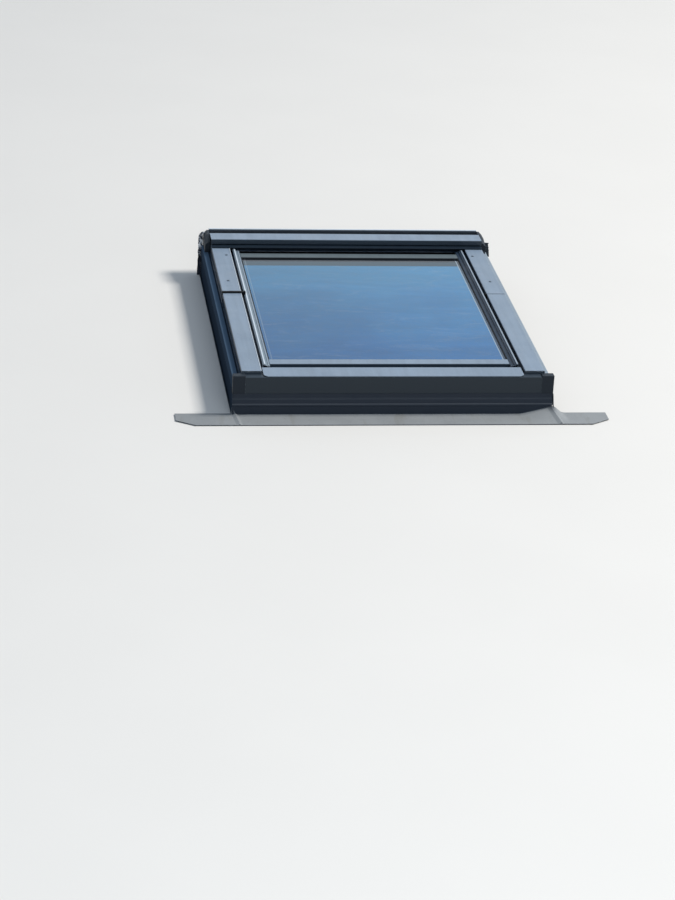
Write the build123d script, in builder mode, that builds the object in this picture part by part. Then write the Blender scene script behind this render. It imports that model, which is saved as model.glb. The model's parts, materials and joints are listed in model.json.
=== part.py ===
from build123d import *
import math
import os

# Centre-pivot roof window with its plain-tile flashing kit.
# The model lies flat: +X to the right along the eaves, +Y up the slope, +Z out of the roof.
# The origin is the centre of the frame on the plane of the roof battens. Sizes are in millimetres.

# Frame timber
frame_width = 780.0
frame_length = 978.0
frame_underside = -30.0
timber_top = 112.0
frame_stile_width = 38.0
frame_rail_width = 40.0
skin_space = 2.0
timber_round = 3.0
lining_groove_depth = 8.0
lining_groove_height = 14.0
lining_groove_lift = 8.0

# Levels above the battens
tile_level = 28.0
cover_top = 136.0
front_top = 130.0
hood_top = 156.0

# Sash timber and glass
sash_side_gap = 12.0
sash_end_gap = 9.0
sash_underside = 56.0
sash_shoulder = 118.0
sash_stile_width = 48.0
sash_bottom_rail_width = 64.0
sash_top_rail_width = 58.0
flap_space = 36.0
glass_top = 126.0
glass_thickness = 4.0
glass_cavity = 16.0
seat_gasket = 1.0
gasket_width = 15.0
seat_width = 21.0
pane_edge_gap = 3.0
sight_overlap = 12.0
spacer_width = 8.0
spacer_inset = 4.0

# Sheet metal
cladding_sheet = 1.5
cladding_bend = 2.5
flashing_sheet = 1.0
flashing_bend = 1.3
sheet_lap = 0.2

# Weather strips
strip_end_gap = 5.0
side_strip_drop = 5.0
side_strip_height = 8.0
end_strip_inset = 2.0
front_strip_width = 4.6
back_strip_width = 7.0
back_strip_height = 10.0

# Glazing profiles on the sash
side_profile_width = 19.0
side_profile_lip = 5.0
side_profile_slope = 11.0
side_profile_top = 132.5
side_profile_tail = 1.0
side_profile_front_gap = 0.5
end_profile_width = 30.0
end_profile_top = 128.5
lip_rise = 2.5
profile_bend = 1.8

# Side covers, the upper pair fixed to the frame and the lower pair to the sash
side_cover_setback = 17.0
side_cover_width = 49.0
inner_rim_depth = 10.0
outer_rim_depth = 12.0
cover_front_setback = 18.0
cover_split_gap = 3.0
cover_seal_sheet = 1.5
cover_seal_overlap = 6.0
cover_under_hood = 14.0
cover_seal_drop = 1.0
cladding_setback = 2.0

# Pivot hinge: a curved shoe in a half-round track, about an axis on the side covers' outer face
pivot_above_centre = 27.0
split_above_pivot = 30.0
track_radius = 50.0
track_width = 8.0
track_wall = 8.0
track_depth = 8.5
track_top_gap = 2.0
hinge_play = 0.25
hinge_side_play = 0.5
hinge_plate = 2.5
hinge_plate_length = 150.0
hinge_plate_height = 46.0
hinge_plate_bottom = 64.0
housing_plate_height = 18.0
housing_plate = 3.0
shoe_start_angle = 5.0
shoe_angle = 12.0
horn_margin = 2.0
horn_end_angle = 50.0
sash_turn_angle = 160.0

# Front of the window
front_face_height = 46.0
front_space = 5.0
front_cover_depth = 32.0
front_cover_foot = 5.0
front_bend = 2.0
front_cap_width = 30.0
sash_cover_gap = 4.0
sash_cover_round = 12.0
sash_cover_foot = 10.0
sash_cover_set_in = 3.0
sash_cover_nose = 2.7
front_cap_edge = 1.5

# Hood
hood_front_setback = 75.0
hood_front_height = 14.0
hood_front_tuck = 7.0
hood_clearance = 1.5
hood_top_width = 50.0
hood_channel_depth = 10.0
hood_rear_overhang = 9.0
hood_lip_drop = 3.0
hood_lip_width = 8.0
hood_rear_leg = 25.0
hood_carrier_width = 18.0
hood_cap_width = 15.0
hood_cap_front_height = 30.0
hood_cap_chamfer = 9.0

# Flashing
apron_depth = 60.0
apron_reach = 137.0
apron_hem = 7.0
apron_side_run = 70.0
corner_upstand_run = 52.0
gutter_setback = 12.0
seam_offset = 4.0
apron_step_height = 44.0
apron_bead_height = 22.0
apron_bead_width = 8.0
apron_bead_rise = 2.5
apron_bead_slope = 2.0
apron_step_fall = 3.0
seam_angle = 25.0
corner_chamfer = (45.0, 28.0)
upstand_top = 96.0
gutter_level = 16.0
gutter_width = 66.0
gutter_welt = 6.0
top_flashing_depth = 100.0
top_flashing_rise = 140.0

# Fittings
fit_play = 0.05
soft_gap = 0.3
bracket_sheet = 2.5
bracket_bend = 4.0
bracket_reach = 70.0
bracket_drop = 26.0
bracket_width = 60.0
bracket_end_inset = 107.0
batten_hole_reach = 42.0
batten_hole_pitch = 24.0
batten_hole_radius = 3.0
bar_end_inset = 66.0
bar_width = 20.0
bar_height = 13.0
bar_reach = (14.0, -20.0)
bar_pivot_level = 66.0
bar_arm_sheet = 6.0
flap_pivot_level = 105.0
flap_sheet = 2.0
flap_lip = 8.0
flap_strip_gap = 0.8
fitting_offset = 8.0
fitting_pin_radius = 3.0
fitting_plate = 4.0
fitting_foot = 16.0
fitting_foot_sheet = 2.0
fitting_margin = 8.0
pin_recess = 0.5
lock_half_width = 36.0
lock_levels = (60.0, 78.0)
lock_depth = 32.0
catch_half_width = 12.0
catch_height = 10.0
striker_sheet = 3.0
striker_size = (90.0, 26.0)
striker_window = (30.0, 14.0)
fitting_round = 4.0
bolt_radius = 4.0
bolt_stroke = 12.0
bolt_level = 74.0
bolt_case_size = (23.5, 18.0, 20.0)
bolt_knob_radius = 7.0
bolt_knob_width = 4.0
bush_wall = 4.0
bush_length = 8.5
bolt_case_inset = 2.0
bolt_case_round = 5.0
bolt_knob_gap = 0.5
bolt_tip_chamfer = 1.0

# Places that follow from the sizes above
timber_x = frame_width / 2 - skin_space
timber_y = frame_length / 2 - skin_space
opening_x = timber_x - frame_stile_width
opening_y = timber_y - frame_rail_width
sash_x = opening_x - sash_side_gap
sash_front = sash_end_gap - opening_y
sash_back = opening_y - sash_end_gap - flap_space
daylight_x = sash_x - sash_stile_width
daylight_front = sash_front + sash_bottom_rail_width
daylight_back = sash_back - sash_top_rail_width
seat_level = glass_top - 2 * glass_thickness - glass_cavity - seat_gasket
pocket_x = daylight_x + seat_width
pocket_front = daylight_front - seat_width
pocket_back = daylight_back + seat_width
pane_x = pocket_x - pane_edge_gap
pane_front = pocket_front + pane_edge_gap
pane_back = pocket_back - pane_edge_gap
sight_x = pane_x - sight_overlap
sight_front = pane_front + sight_overlap
sight_back = pane_back - sight_overlap
front_y = -(timber_y + front_space)
riser_y = sash_front + sash_cover_set_in
side_profile_front = riser_y + sash_cover_foot + side_profile_front_gap
cladding_x = timber_x + flashing_sheet + sheet_lap + cladding_sheet
front_x = cladding_x + cladding_sheet
cladding_bottom = front_top - front_face_height
cladding_top = timber_top + cladding_sheet
flange_top = front_top - sash_cover_nose - soft_gap
cover_outer = timber_x - side_cover_setback
side_cover_inner = cover_outer - side_cover_width
sash_cover_half_width = side_cover_inner - sash_cover_gap
cover_front = front_y + cover_front_setback
hood_front = frame_length / 2 - hood_front_setback
hood_rear = frame_length / 2 + hood_rear_overhang
hood_channel_level = hood_top - hood_channel_depth
pivot_y = pivot_above_centre
pivot_z = cover_top
split_y = pivot_y + split_above_pivot
track_inner = track_radius - track_width / 2
track_outer = track_radius + track_width / 2
fitting_y = sash_back + fitting_offset
bar_half_length = sash_x - bar_end_inset
fitting_x = bar_half_length + bar_arm_sheet + hinge_side_play
bracket_row = timber_y - bracket_end_inset


def folded_sheet(points, sheet=cladding_sheet, bend=cladding_bend):
    """Section of a folded sheet. Its outer face follows the points and its metal lies on their left."""
    first_leg = Edge.make_line(points[0], points[1])
    in_metal = first_leg @ 0.5 + (first_leg % 0.5).rotate(Axis.Z, 90) * sheet / 2
    for side in (Side.LEFT, Side.RIGHT):
        with BuildSketch() as section:
            with BuildLine():
                FilletPolyline(*points, radius=bend)
                offset(amount=sheet, side=side)
            make_face()
        if section.face().is_inside(in_metal):
            return section.sketch
    raise ValueError("the fold does not fit its points")


def about_pivot(radius, angle):
    """A point about the pivot axis, at an angle turned down from the upslope direction."""
    turn = math.radians(angle)
    return (pivot_y + radius * math.cos(turn), pivot_z - radius * math.sin(turn))


def ring_sector(inner, outer, start_angle, end_angle):
    """A sector of a ring about the pivot axis."""
    far = 2 * outer
    with BuildSketch() as sector:
        with Locations((pivot_y, pivot_z)):
            Circle(outer)
            Circle(inner, mode=Mode.SUBTRACT)
        with BuildLine():
            Polyline((pivot_y, pivot_z), about_pivot(far, start_angle),
                     about_pivot(far, (start_angle + end_angle) / 2),
                     about_pivot(far, end_angle), close=True)
        make_face(mode=Mode.INTERSECT)
    return sector.sketch


# Frame timber: two stiles between two rails, grooved for the lining of the room
with BuildPart() as frame_stile_right:
    with BuildSketch(Plane.XZ.offset(opening_y)) as stile_section:
        with Locations(((opening_x + timber_x) / 2, (frame_underside + timber_top) / 2)):
            Rectangle(frame_stile_width, timber_top - frame_underside)
        fillet(stile_section.vertices().group_by(Axis.X)[0], timber_round)
        with Locations((opening_x, frame_underside + lining_groove_lift)):
            Rectangle(lining_groove_depth, lining_groove_height, align=(Align.MIN, Align.MIN),
                      mode=Mode.SUBTRACT)
    extrude(amount=-2 * opening_y)
    with BuildSketch(Plane.YZ.offset(opening_x)):
        with Locations((pivot_y, pivot_z)):
            Circle(split_above_pivot + hood_clearance)
    extrude(amount=cover_outer + hood_clearance - opening_x, mode=Mode.SUBTRACT)

with BuildPart() as frame_stile_left:
    mirror(frame_stile_right.part, about=Plane.YZ)

with BuildPart() as frame_top_rail:
    with BuildSketch(Plane.YZ.offset(-timber_x)) as rail_section:
        with Locations(((opening_y + timber_y) / 2, (frame_underside + timber_top) / 2)):
            Rectangle(frame_rail_width, timber_top - frame_underside)
        fillet(rail_section.vertices().group_by(Axis.X)[0], timber_round)
        with Locations((opening_y, frame_underside + lining_groove_lift)):
            Rectangle(lining_groove_depth, lining_groove_height, align=(Align.MIN, Align.MIN),
                      mode=Mode.SUBTRACT)
    extrude(amount=2 * timber_x)

with BuildPart() as frame_bottom_rail:
    mirror(frame_top_rail.part, about=Plane.XZ)

# Weather strips of the frame: one in each side gap above and below the hinge, and one at each end
with BuildPart() as frame_gaskets:
    strip_clear = hinge_plate_length / 2 + strip_end_gap
    end_strip_half_length = sash_cover_half_width - end_strip_inset
    strip_spans = ((sash_front, pivot_y - strip_clear), (pivot_y + strip_clear, sash_back))
    for start, end in strip_spans:
        with BuildSketch(Plane.XZ.offset(-start)):
            with Locations(*[(side * (opening_x + sash_x + soft_gap) / 2, timber_top - side_strip_drop)
                             for side in (-1, 1)]):
                Rectangle(sash_side_gap - soft_gap, side_strip_height)
        extrude(amount=start - end)
    with BuildSketch(Plane.YZ.offset(-end_strip_half_length)):
        with Locations((front_y + front_cover_depth + front_cover_foot + soft_gap, timber_top)):
            Rectangle(front_strip_width, front_top - cladding_sheet - soft_gap - timber_top,
                      align=(Align.MIN, Align.MIN))
        with Locations((opening_y, flap_pivot_level)):
            Rectangle(back_strip_width, back_strip_height, align=(Align.MAX, Align.CENTER))
    extrude(amount=2 * end_strip_half_length)

# Cladding along the frame's sides, hooked over the flashing
with BuildPart() as side_cladding_right:
    with BuildSketch(Plane.XZ.offset(-cover_front)):
        add(folded_sheet([(cladding_x, cladding_bottom), (cladding_x, cladding_top),
                          (cover_outer + cladding_setback, cladding_top)]))
    extrude(amount=cover_front - timber_y)

with BuildPart() as side_cladding_left:
    mirror(side_cladding_right.part, about=Plane.YZ)

# Upper side covers: they stand on the frame and stay when the sash turns
with BuildPart() as upper_cover_right:
    with BuildSketch(Plane.XZ.offset(-split_y)):
        add(folded_sheet([(cover_outer, timber_top), (cover_outer, cover_top),
                          (side_cover_inner, cover_top),
                          (side_cover_inner, cover_top - inner_rim_depth)]))
    extrude(amount=split_y - hood_front - cover_under_hood)

with BuildPart() as upper_cover_left:
    mirror(upper_cover_right.part, about=Plane.YZ)

# Rubber strips that close the joint between the upper and the lower side covers
with BuildPart() as cover_seals:
    with BuildSketch(Plane.XZ.offset(-split_y)):
        for side in (-1, 1):
            with Locations((side * (side_cover_inner - cover_seal_overlap + cover_outer) / 2,
                            cover_top - outer_rim_depth)):
                Rectangle(side_cover_width + cover_seal_overlap, outer_rim_depth - cover_seal_drop,
                          align=(Align.CENTER, Align.MIN))
    extrude(amount=cover_seal_sheet)

# Lower side covers: they stand on the sash and turn with it
with BuildPart() as lower_cover_right:
    lower_cover_end = split_y - cover_split_gap
    with BuildSketch(Plane.XZ.offset(-cover_front)):
        add(folded_sheet([(cover_outer, cover_top - outer_rim_depth), (cover_outer, cover_top),
                          (side_cover_inner, cover_top), (side_cover_inner, sash_shoulder)]))
    extrude(amount=cover_front - lower_cover_end)
    with BuildSketch(Plane.XZ.offset(-cover_front)):
        with Locations(((side_cover_inner + cover_outer) / 2, cover_top - cladding_bend)):
            Rectangle(side_cover_width - cladding_sheet, outer_rim_depth - cladding_bend,
                      align=(Align.CENTER, Align.MAX))
    extrude(amount=-cladding_sheet)
    with Locations((side_cover_inner, cover_front, flange_top + soft_gap)):
        Box(side_cover_width, sash_front - cover_front, cover_top - timber_top,
            align=(Align.MIN, Align.MIN, Align.MAX), mode=Mode.SUBTRACT)

with BuildPart() as lower_cover_left:
    mirror(lower_cover_right.part, about=Plane.YZ)

# Frame's front cover between its end caps
with BuildPart() as front_cover:
    foot_y = front_y + front_cover_depth
    return_y = -timber_y - flashing_sheet - sheet_lap
    with BuildSketch(Plane.YZ.offset(front_cap_width - front_x)):
        add(folded_sheet([(foot_y + front_cover_foot, cladding_top), (foot_y, cladding_top),
                          (foot_y, flange_top), (front_y, flange_top), (front_y, cladding_bottom),
                          (return_y, cladding_bottom)], bend=front_bend))
    extrude(amount=2 * (front_x - front_cap_width))

with BuildPart() as front_cap_right:
    with Locations((front_x - front_cap_width, front_y - sheet_lap, cladding_bottom)):
        Box(front_cap_width, cover_front_setback - soft_gap, front_face_height,
            align=(Align.MIN, Align.MIN, Align.MIN))
    fillet(front_cap_right.edges().filter_by(Axis.Z).sort_by(Axis.Y)[:2].sort_by(Axis.X)[-1],
           front_cap_edge)
    fillet(front_cap_right.edges().filter_by(Axis.X).group_by(Axis.Z)[-1].sort_by(Axis.Y)[0],
           front_cap_edge)
    with Locations((timber_x + flashing_sheet + sheet_lap, return_y, cladding_top + sheet_lap)):
        Box(front_cap_width, cover_front_setback, front_face_height,
            align=(Align.MAX, Align.MIN, Align.MAX), mode=Mode.SUBTRACT)

with BuildPart() as front_cap_left:
    mirror(front_cap_right.part, about=Plane.YZ)

# Hood over the top of the window, with the channel that takes the top flashing's drip
with BuildPart() as hood:
    lip_back = hood_rear
    lip_front = hood_rear - hood_lip_width
    lip_top = hood_top - hood_lip_drop
    with BuildSketch(Plane.YZ.offset(-cover_outer)):
        add(folded_sheet([(lip_back, lip_top - hood_rear_leg), (lip_back, lip_top), (lip_front, lip_top),
                          (lip_front, hood_channel_level),
                          (hood_front + hood_top_width, hood_channel_level),
                          (hood_front + hood_top_width, hood_top), (hood_front, hood_top),
                          (hood_front, hood_top - hood_front_height),
                          (hood_front + hood_front_tuck, cover_top + hood_clearance)],
                         bend=front_bend))
    extrude(amount=2 * cover_outer)

with BuildPart() as hood_carrier:
    carrier_back = timber_y - flashing_sheet
    carrier_front = carrier_back - hood_carrier_width
    carrier_top = hood_channel_level - cladding_sheet
    with BuildSketch(Plane.YZ.offset(hood_cap_width - cover_outer)):
        add(folded_sheet([(carrier_back, timber_top), (carrier_back, carrier_top),
                          (carrier_front, carrier_top), (carrier_front, timber_top)]))
    extrude(amount=2 * (cover_outer - hood_cap_width))

with BuildPart() as hood_cap_right:
    with BuildSketch(Plane.YZ.offset(cover_outer + sheet_lap)):
        with BuildLine():
            Polyline((hood_front + cover_under_hood, cladding_top), (hood_rear, cladding_top),
                     (hood_rear, lip_top), (hood_front + hood_top_width, lip_top),
                     (hood_front + cover_under_hood, cladding_top + hood_cap_front_height), close=True)
        make_face()
    extrude(amount=hood_cap_width)
    outer_top = hood_cap_right.edges().group_by(Axis.X)[-1].sort_by(Axis.Z)[-2:]
    chamfer(outer_top, hood_cap_chamfer)

with BuildPart() as hood_cap_left:
    mirror(hood_cap_right.part, about=Plane.YZ)

# Hinge housings on the frame: a half-round track open at both ends
with BuildPart() as hinge_housing_right:
    housing_reach = sash_side_gap - hinge_side_play
    with BuildSketch(Plane.YZ.offset(opening_x)) as housing_section:
        with Locations((pivot_y, pivot_z)):
            Circle(track_outer + track_wall)
            Circle(track_inner - track_wall, mode=Mode.SUBTRACT)
        with Locations((pivot_y, cover_top - cladding_sheet - track_top_gap)):
            Rectangle(4 * track_outer, 2 * track_outer, align=(Align.CENTER, Align.MIN),
                      mode=Mode.SUBTRACT)
    extrude(amount=-housing_reach)
    with BuildSketch(Plane.YZ.offset(opening_x - housing_reach)):
        with Locations((pivot_y, pivot_z)):
            Circle(track_outer)
            Circle(track_inner, mode=Mode.SUBTRACT)
    extrude(amount=track_depth, mode=Mode.SUBTRACT)
    with BuildSketch(Plane.YZ.offset(opening_x)):
        with Locations((pivot_y, pivot_z - track_outer - track_wall)):
            Rectangle(hinge_plate_length, housing_plate_height)
    extrude(amount=-housing_plate)

with BuildPart() as hinge_housing_left:
    mirror(hinge_housing_right.part, about=Plane.YZ)

# Flashing: a folded apron in front with a seam at each end, its corners, and gutters at the sides and back
with BuildPart() as apron:
    apron_front = front_y - apron_depth
    apron_top = tile_level + flashing_sheet
    step_level = tile_level + apron_step_height
    bead_level = tile_level + apron_bead_height
    upstand_y = -timber_y - flashing_sheet
    face_y = front_y + flashing_sheet
    bead_y = face_y - apron_bead_rise
    hem_level = apron_top - 2 * flashing_bend - sheet_lap
    with BuildSketch(Plane.YZ.offset(-front_x)):
        add(folded_sheet([(upstand_y, upstand_top), (upstand_y, step_level),
                          (face_y, step_level - apron_step_fall), (face_y, bead_level + apron_bead_width),
                          (bead_y, bead_level + apron_bead_width - apron_bead_slope),
                          (bead_y, bead_level + apron_bead_slope), (face_y, bead_level),
                          (face_y, apron_top), (apron_front, apron_top), (apron_front, hem_level),
                          (apron_front + apron_hem, hem_level)], flashing_sheet, flashing_bend))
    extrude(amount=2 * front_x)
    for side in (-1, 1):
        with Locations((side * timber_x, -timber_y, cladding_bottom - sheet_lap)):
            Box(2 * (front_x - timber_x), 2 * front_space, upstand_top - tile_level,
                align=(Align.MIN if side > 0 else Align.MAX, Align.CENTER, Align.MIN),
                mode=Mode.SUBTRACT)
    seam_x = front_x - seam_offset - apron_bead_width / 2
    with BuildSketch(Plane.XZ.offset(-apron_front - flashing_bend)):
        with Locations(*[(side * seam_x, apron_top) for side in (-1, 1)]):
            Triangle(c=apron_bead_width, B=seam_angle, C=seam_angle, align=(Align.CENTER, Align.MIN))
    extrude(amount=apron_front + flashing_bend - face_y)


def apron_corner(side):
    """An apron corner: a tray over the tiles and an upstand along the frame."""
    reach_x = front_x + apron_reach
    along, across = corner_chamfer
    tray_end = apron_front + apron_side_run
    with BuildPart() as corner:
        with BuildSketch(Plane.XY.offset(tile_level)):
            with BuildLine():
                Polyline((front_x, apron_front), (reach_x - along, apron_front),
                         (reach_x, apron_front + across), (reach_x, tray_end), (front_x, tray_end),
                         close=True)
            make_face()
        extrude(amount=flashing_sheet)
        with BuildSketch(Plane.YZ.offset(front_x)):
            with Locations((front_y, tile_level)):
                Rectangle(corner_upstand_run, cladding_bottom - tile_level - flashing_sheet,
                          align=(Align.MIN, Align.MIN))
        extrude(amount=flashing_sheet)
        if side < 0:
            mirror(about=Plane.YZ, mode=Mode.REPLACE)
    return corner


apron_corner_right = apron_corner(1)
apron_corner_left = apron_corner(-1)

with BuildPart() as side_flashing_right:
    gutter_edge = timber_x + gutter_width
    gutter_end = front_y + gutter_setback
    with BuildSketch(Plane.XZ.offset(-gutter_end)):
        add(folded_sheet([(timber_x, upstand_top), (timber_x, gutter_level), (gutter_edge, gutter_level),
                          (gutter_edge, gutter_level + gutter_welt),
                          (gutter_edge - gutter_welt, gutter_level + gutter_welt)],
                         flashing_sheet, flashing_bend))
    extrude(amount=gutter_end - timber_y)

with BuildPart() as side_flashing_left:
    mirror(side_flashing_right.part, about=Plane.YZ)

with BuildPart() as top_flashing:
    top_edge = timber_y + top_flashing_depth
    with BuildSketch(Plane.YZ.offset(-gutter_edge)):
        add(folded_sheet([(timber_y, top_flashing_rise), (timber_y, gutter_level), (top_edge, gutter_level),
                          (top_edge, gutter_level + gutter_welt),
                          (top_edge - gutter_welt, gutter_level + gutter_welt)],
                         flashing_sheet, flashing_bend))
    extrude(amount=2 * gutter_edge)
    for cut_start, cut_level in ((cladding_x, gutter_level + 2 * flashing_bend),
                                 (cover_outer, cladding_top)):
        for side in (-1, 1):
            with Locations((side * cut_start, timber_y, cut_level)):
                Box(gutter_edge - cut_start, 2 * flashing_bend, top_flashing_rise,
                    align=(Align.MIN if side > 0 else Align.MAX, Align.CENTER, Align.MIN),
                    mode=Mode.SUBTRACT)


def mounting_bracket(side, row):
    """A folded angle from the frame's side to the roof battens, with two batten holes."""
    with BuildPart() as bracket:
        with BuildSketch(Plane.XZ.offset(bracket_width / 2 - row)):
            add(folded_sheet([(timber_x + bracket_reach, bracket_sheet), (timber_x, bracket_sheet),
                              (timber_x, -bracket_drop)], bracket_sheet, bracket_bend))
        extrude(amount=-bracket_width)
        with Locations((timber_x + batten_hole_reach, row, bracket_sheet)):
            with GridLocations(1, batten_hole_pitch, 1, 2):
                Hole(batten_hole_radius, depth=2 * bracket_sheet)
        if side < 0:
            mirror(about=Plane.YZ, mode=Mode.REPLACE)
    return bracket


mounting_brackets = {
    f"mounting_bracket_{end}_{hand}": mounting_bracket(side, row)
    for end, row in (("lower", -bracket_row), ("upper", bracket_row))
    for hand, side in (("left", -1), ("right", 1))
}

# Fittings of the frame: the striker for the catch, and the bush that holds the sash for cleaning
with BuildPart() as striker_plate:
    lock_middle = sum(lock_levels) / 2
    with BuildSketch(Plane.XZ.offset(-opening_y)):
        with Locations((0, lock_middle)):
            RectangleRounded(*striker_size, fitting_round)
            Rectangle(*striker_window, mode=Mode.SUBTRACT)
    extrude(amount=striker_sheet)

with BuildPart() as bolt_bush:
    turn = math.radians(sash_turn_angle)
    arm_y = fitting_y - pivot_y
    arm_z = bolt_level - pivot_z
    bush_y = pivot_y + arm_y * math.cos(turn) + arm_z * math.sin(turn)
    bush_z = pivot_z - arm_y * math.sin(turn) + arm_z * math.cos(turn)
    with BuildSketch(Plane.YZ.offset(opening_x)):
        with Locations((bush_y, bush_z)):
            Circle(bolt_radius + bush_wall)
            Circle(bolt_radius + soft_gap, mode=Mode.SUBTRACT)
    extrude(amount=-bush_length)

# Sash timber, rebated for the glass and let in for the hinge arms
with BuildPart() as hinge_arm_right:
    with BuildSketch(Plane.YZ.offset(sash_x)) as arm_outline:
        with Locations((pivot_y, hinge_plate_bottom)):
            Rectangle(hinge_plate_length, hinge_plate_height, align=(Align.CENTER, Align.MIN))
        fillet(arm_outline.vertices(), fitting_round)
        add(ring_sector(track_inner - horn_margin, track_outer + 2 * horn_margin,
                        shoe_start_angle - horn_margin, horn_end_angle))
    extrude(amount=-hinge_plate)
    with BuildSketch(Plane.YZ.offset(sash_x)):
        add(ring_sector(track_inner + hinge_play, track_outer - hinge_play, shoe_start_angle,
                        shoe_start_angle + shoe_angle))
    extrude(amount=track_depth)

with BuildPart() as hinge_arm_left:
    mirror(hinge_arm_right.part, about=Plane.YZ)

with BuildPart() as sash_stile_right:
    with BuildSketch(Plane.XZ.offset(-sash_front)) as sash_stile_section:
        with Locations(((daylight_x + sash_x) / 2, (sash_underside + sash_shoulder) / 2)):
            Rectangle(sash_stile_width, sash_shoulder - sash_underside)
        fillet(sash_stile_section.vertices().group_by(Axis.Y)[0], timber_round)
    extrude(amount=sash_front - sash_back)
    with Locations((0, pocket_front, seat_level)):
        Box(pocket_x, pocket_back - pocket_front, sash_shoulder - seat_level,
            align=(Align.MIN, Align.MIN, Align.MIN), mode=Mode.SUBTRACT)
    add(hinge_arm_right.part, mode=Mode.SUBTRACT)

with BuildPart() as sash_stile_left:
    mirror(sash_stile_right.part, about=Plane.YZ)

with BuildPart() as sash_bottom_rail:
    with BuildSketch(Plane.YZ.offset(-daylight_x)) as sash_bottom_section:
        with BuildLine():
            Polyline((sash_front, sash_underside), (daylight_front, sash_underside),
                     (daylight_front, seat_level), (pocket_front, seat_level),
                     (pocket_front, sash_shoulder), (sash_front, sash_shoulder), close=True)
        make_face()
        fillet(sash_bottom_section.vertices().group_by(Axis.Y)[0], timber_round)
    extrude(amount=2 * daylight_x)

with BuildPart() as sash_top_rail:
    with BuildSketch(Plane.YZ.offset(-daylight_x)) as sash_top_section:
        with BuildLine():
            Polyline((sash_back, sash_underside), (daylight_back, sash_underside),
                     (daylight_back, seat_level), (pocket_back, seat_level),
                     (pocket_back, sash_shoulder), (sash_back, sash_shoulder), close=True)
        make_face()
        fillet(sash_top_section.vertices().group_by(Axis.Y)[0], timber_round)
    extrude(amount=2 * daylight_x)

# Sealed double glazing on its gasket
pane_middle = (0, (pane_front + pane_back) / 2)
pane_length = pane_back - pane_front

with BuildPart() as glazing_gasket:
    with BuildSketch(Plane.XY.offset(seat_level)):
        with Locations(pane_middle):
            Rectangle(2 * pane_x, pane_length)
            Rectangle(2 * (pane_x - gasket_width), pane_length - 2 * gasket_width, mode=Mode.SUBTRACT)
    extrude(amount=seat_gasket)

with BuildPart() as inner_pane:
    with BuildSketch(Plane.XY.offset(seat_level + seat_gasket)):
        with Locations(pane_middle):
            Rectangle(2 * pane_x, pane_length)
    extrude(amount=glass_thickness)

with BuildPart() as glazing_spacer:
    with BuildSketch(Plane.XY.offset(seat_level + seat_gasket + glass_thickness)):
        with Locations(pane_middle):
            RectangleRounded(2 * (pane_x - spacer_inset), pane_length - 2 * spacer_inset, spacer_inset)
            Rectangle(2 * (pane_x - spacer_inset - spacer_width),
                      pane_length - 2 * (spacer_inset + spacer_width), mode=Mode.SUBTRACT)
    extrude(amount=glass_cavity)

with BuildPart() as outer_pane:
    with BuildSketch(Plane.XY.offset(glass_top - glass_thickness)):
        with Locations(pane_middle):
            Rectangle(2 * pane_x, pane_length)
    extrude(amount=glass_thickness)

# Glazing profiles: they stand on the sash and hold the glass down with their lips
with BuildPart() as glazing_profile_right:
    profile_leg = sight_x + side_profile_width
    lip_x = sight_x + side_profile_lip
    with BuildSketch(Plane.XZ.offset(-side_profile_front)):
        add(folded_sheet([(profile_leg, sash_shoulder), (profile_leg, side_profile_top),
                          (lip_x + side_profile_slope, side_profile_top), (lip_x, glass_top + lip_rise),
                          (sight_x, glass_top + lip_rise), (sight_x, glass_top)], bend=profile_bend))
    extrude(amount=side_profile_front + side_profile_tail - sash_back)

with BuildPart() as glazing_profile_left:
    mirror(glazing_profile_right.part, about=Plane.YZ)

with BuildPart() as glazing_profile_bottom:
    with BuildSketch(Plane.YZ.offset(sheet_lap - sight_x)):
        add(folded_sheet([(sight_front, glass_top), (sight_front, end_profile_top),
                          (sight_front - end_profile_width, end_profile_top),
                          (sight_front - end_profile_width, sash_shoulder)], bend=profile_bend))
    extrude(amount=2 * (sight_x - sheet_lap))

with BuildPart() as glazing_profile_top:
    with BuildSketch(Plane.YZ.offset(sheet_lap - sight_x)):
        add(folded_sheet([(sight_back + end_profile_width, sash_shoulder),
                          (sight_back + end_profile_width, end_profile_top),
                          (sight_back, end_profile_top), (sight_back, glass_top)],
                         bend=profile_bend))
    extrude(amount=2 * (sight_x - sheet_lap))

# Sash bottom cover: it stands on the sash's bottom rail and reaches over the frame's front cover
with BuildPart() as sash_bottom_cover:
    with BuildSketch(Plane.YZ.offset(-sash_cover_half_width)):
        add(folded_sheet([(riser_y + sash_cover_foot, sash_shoulder + cladding_sheet),
                          (riser_y, sash_shoulder + cladding_sheet), (riser_y, front_top),
                          (front_y, front_top), (front_y, front_top - sash_cover_nose)],
                         bend=front_bend))
    extrude(amount=2 * sash_cover_half_width)
    with BuildSketch(Plane.XY.offset(sash_shoulder)) as cover_plan:
        with Locations((0, front_y)):
            Rectangle(2 * sash_cover_half_width, riser_y + sash_cover_foot - front_y,
                      align=(Align.CENTER, Align.MIN))
        fillet(cover_plan.vertices().group_by(Axis.Y)[0], sash_cover_round)
    extrude(amount=front_top - sash_shoulder, mode=Mode.INTERSECT)

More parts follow.
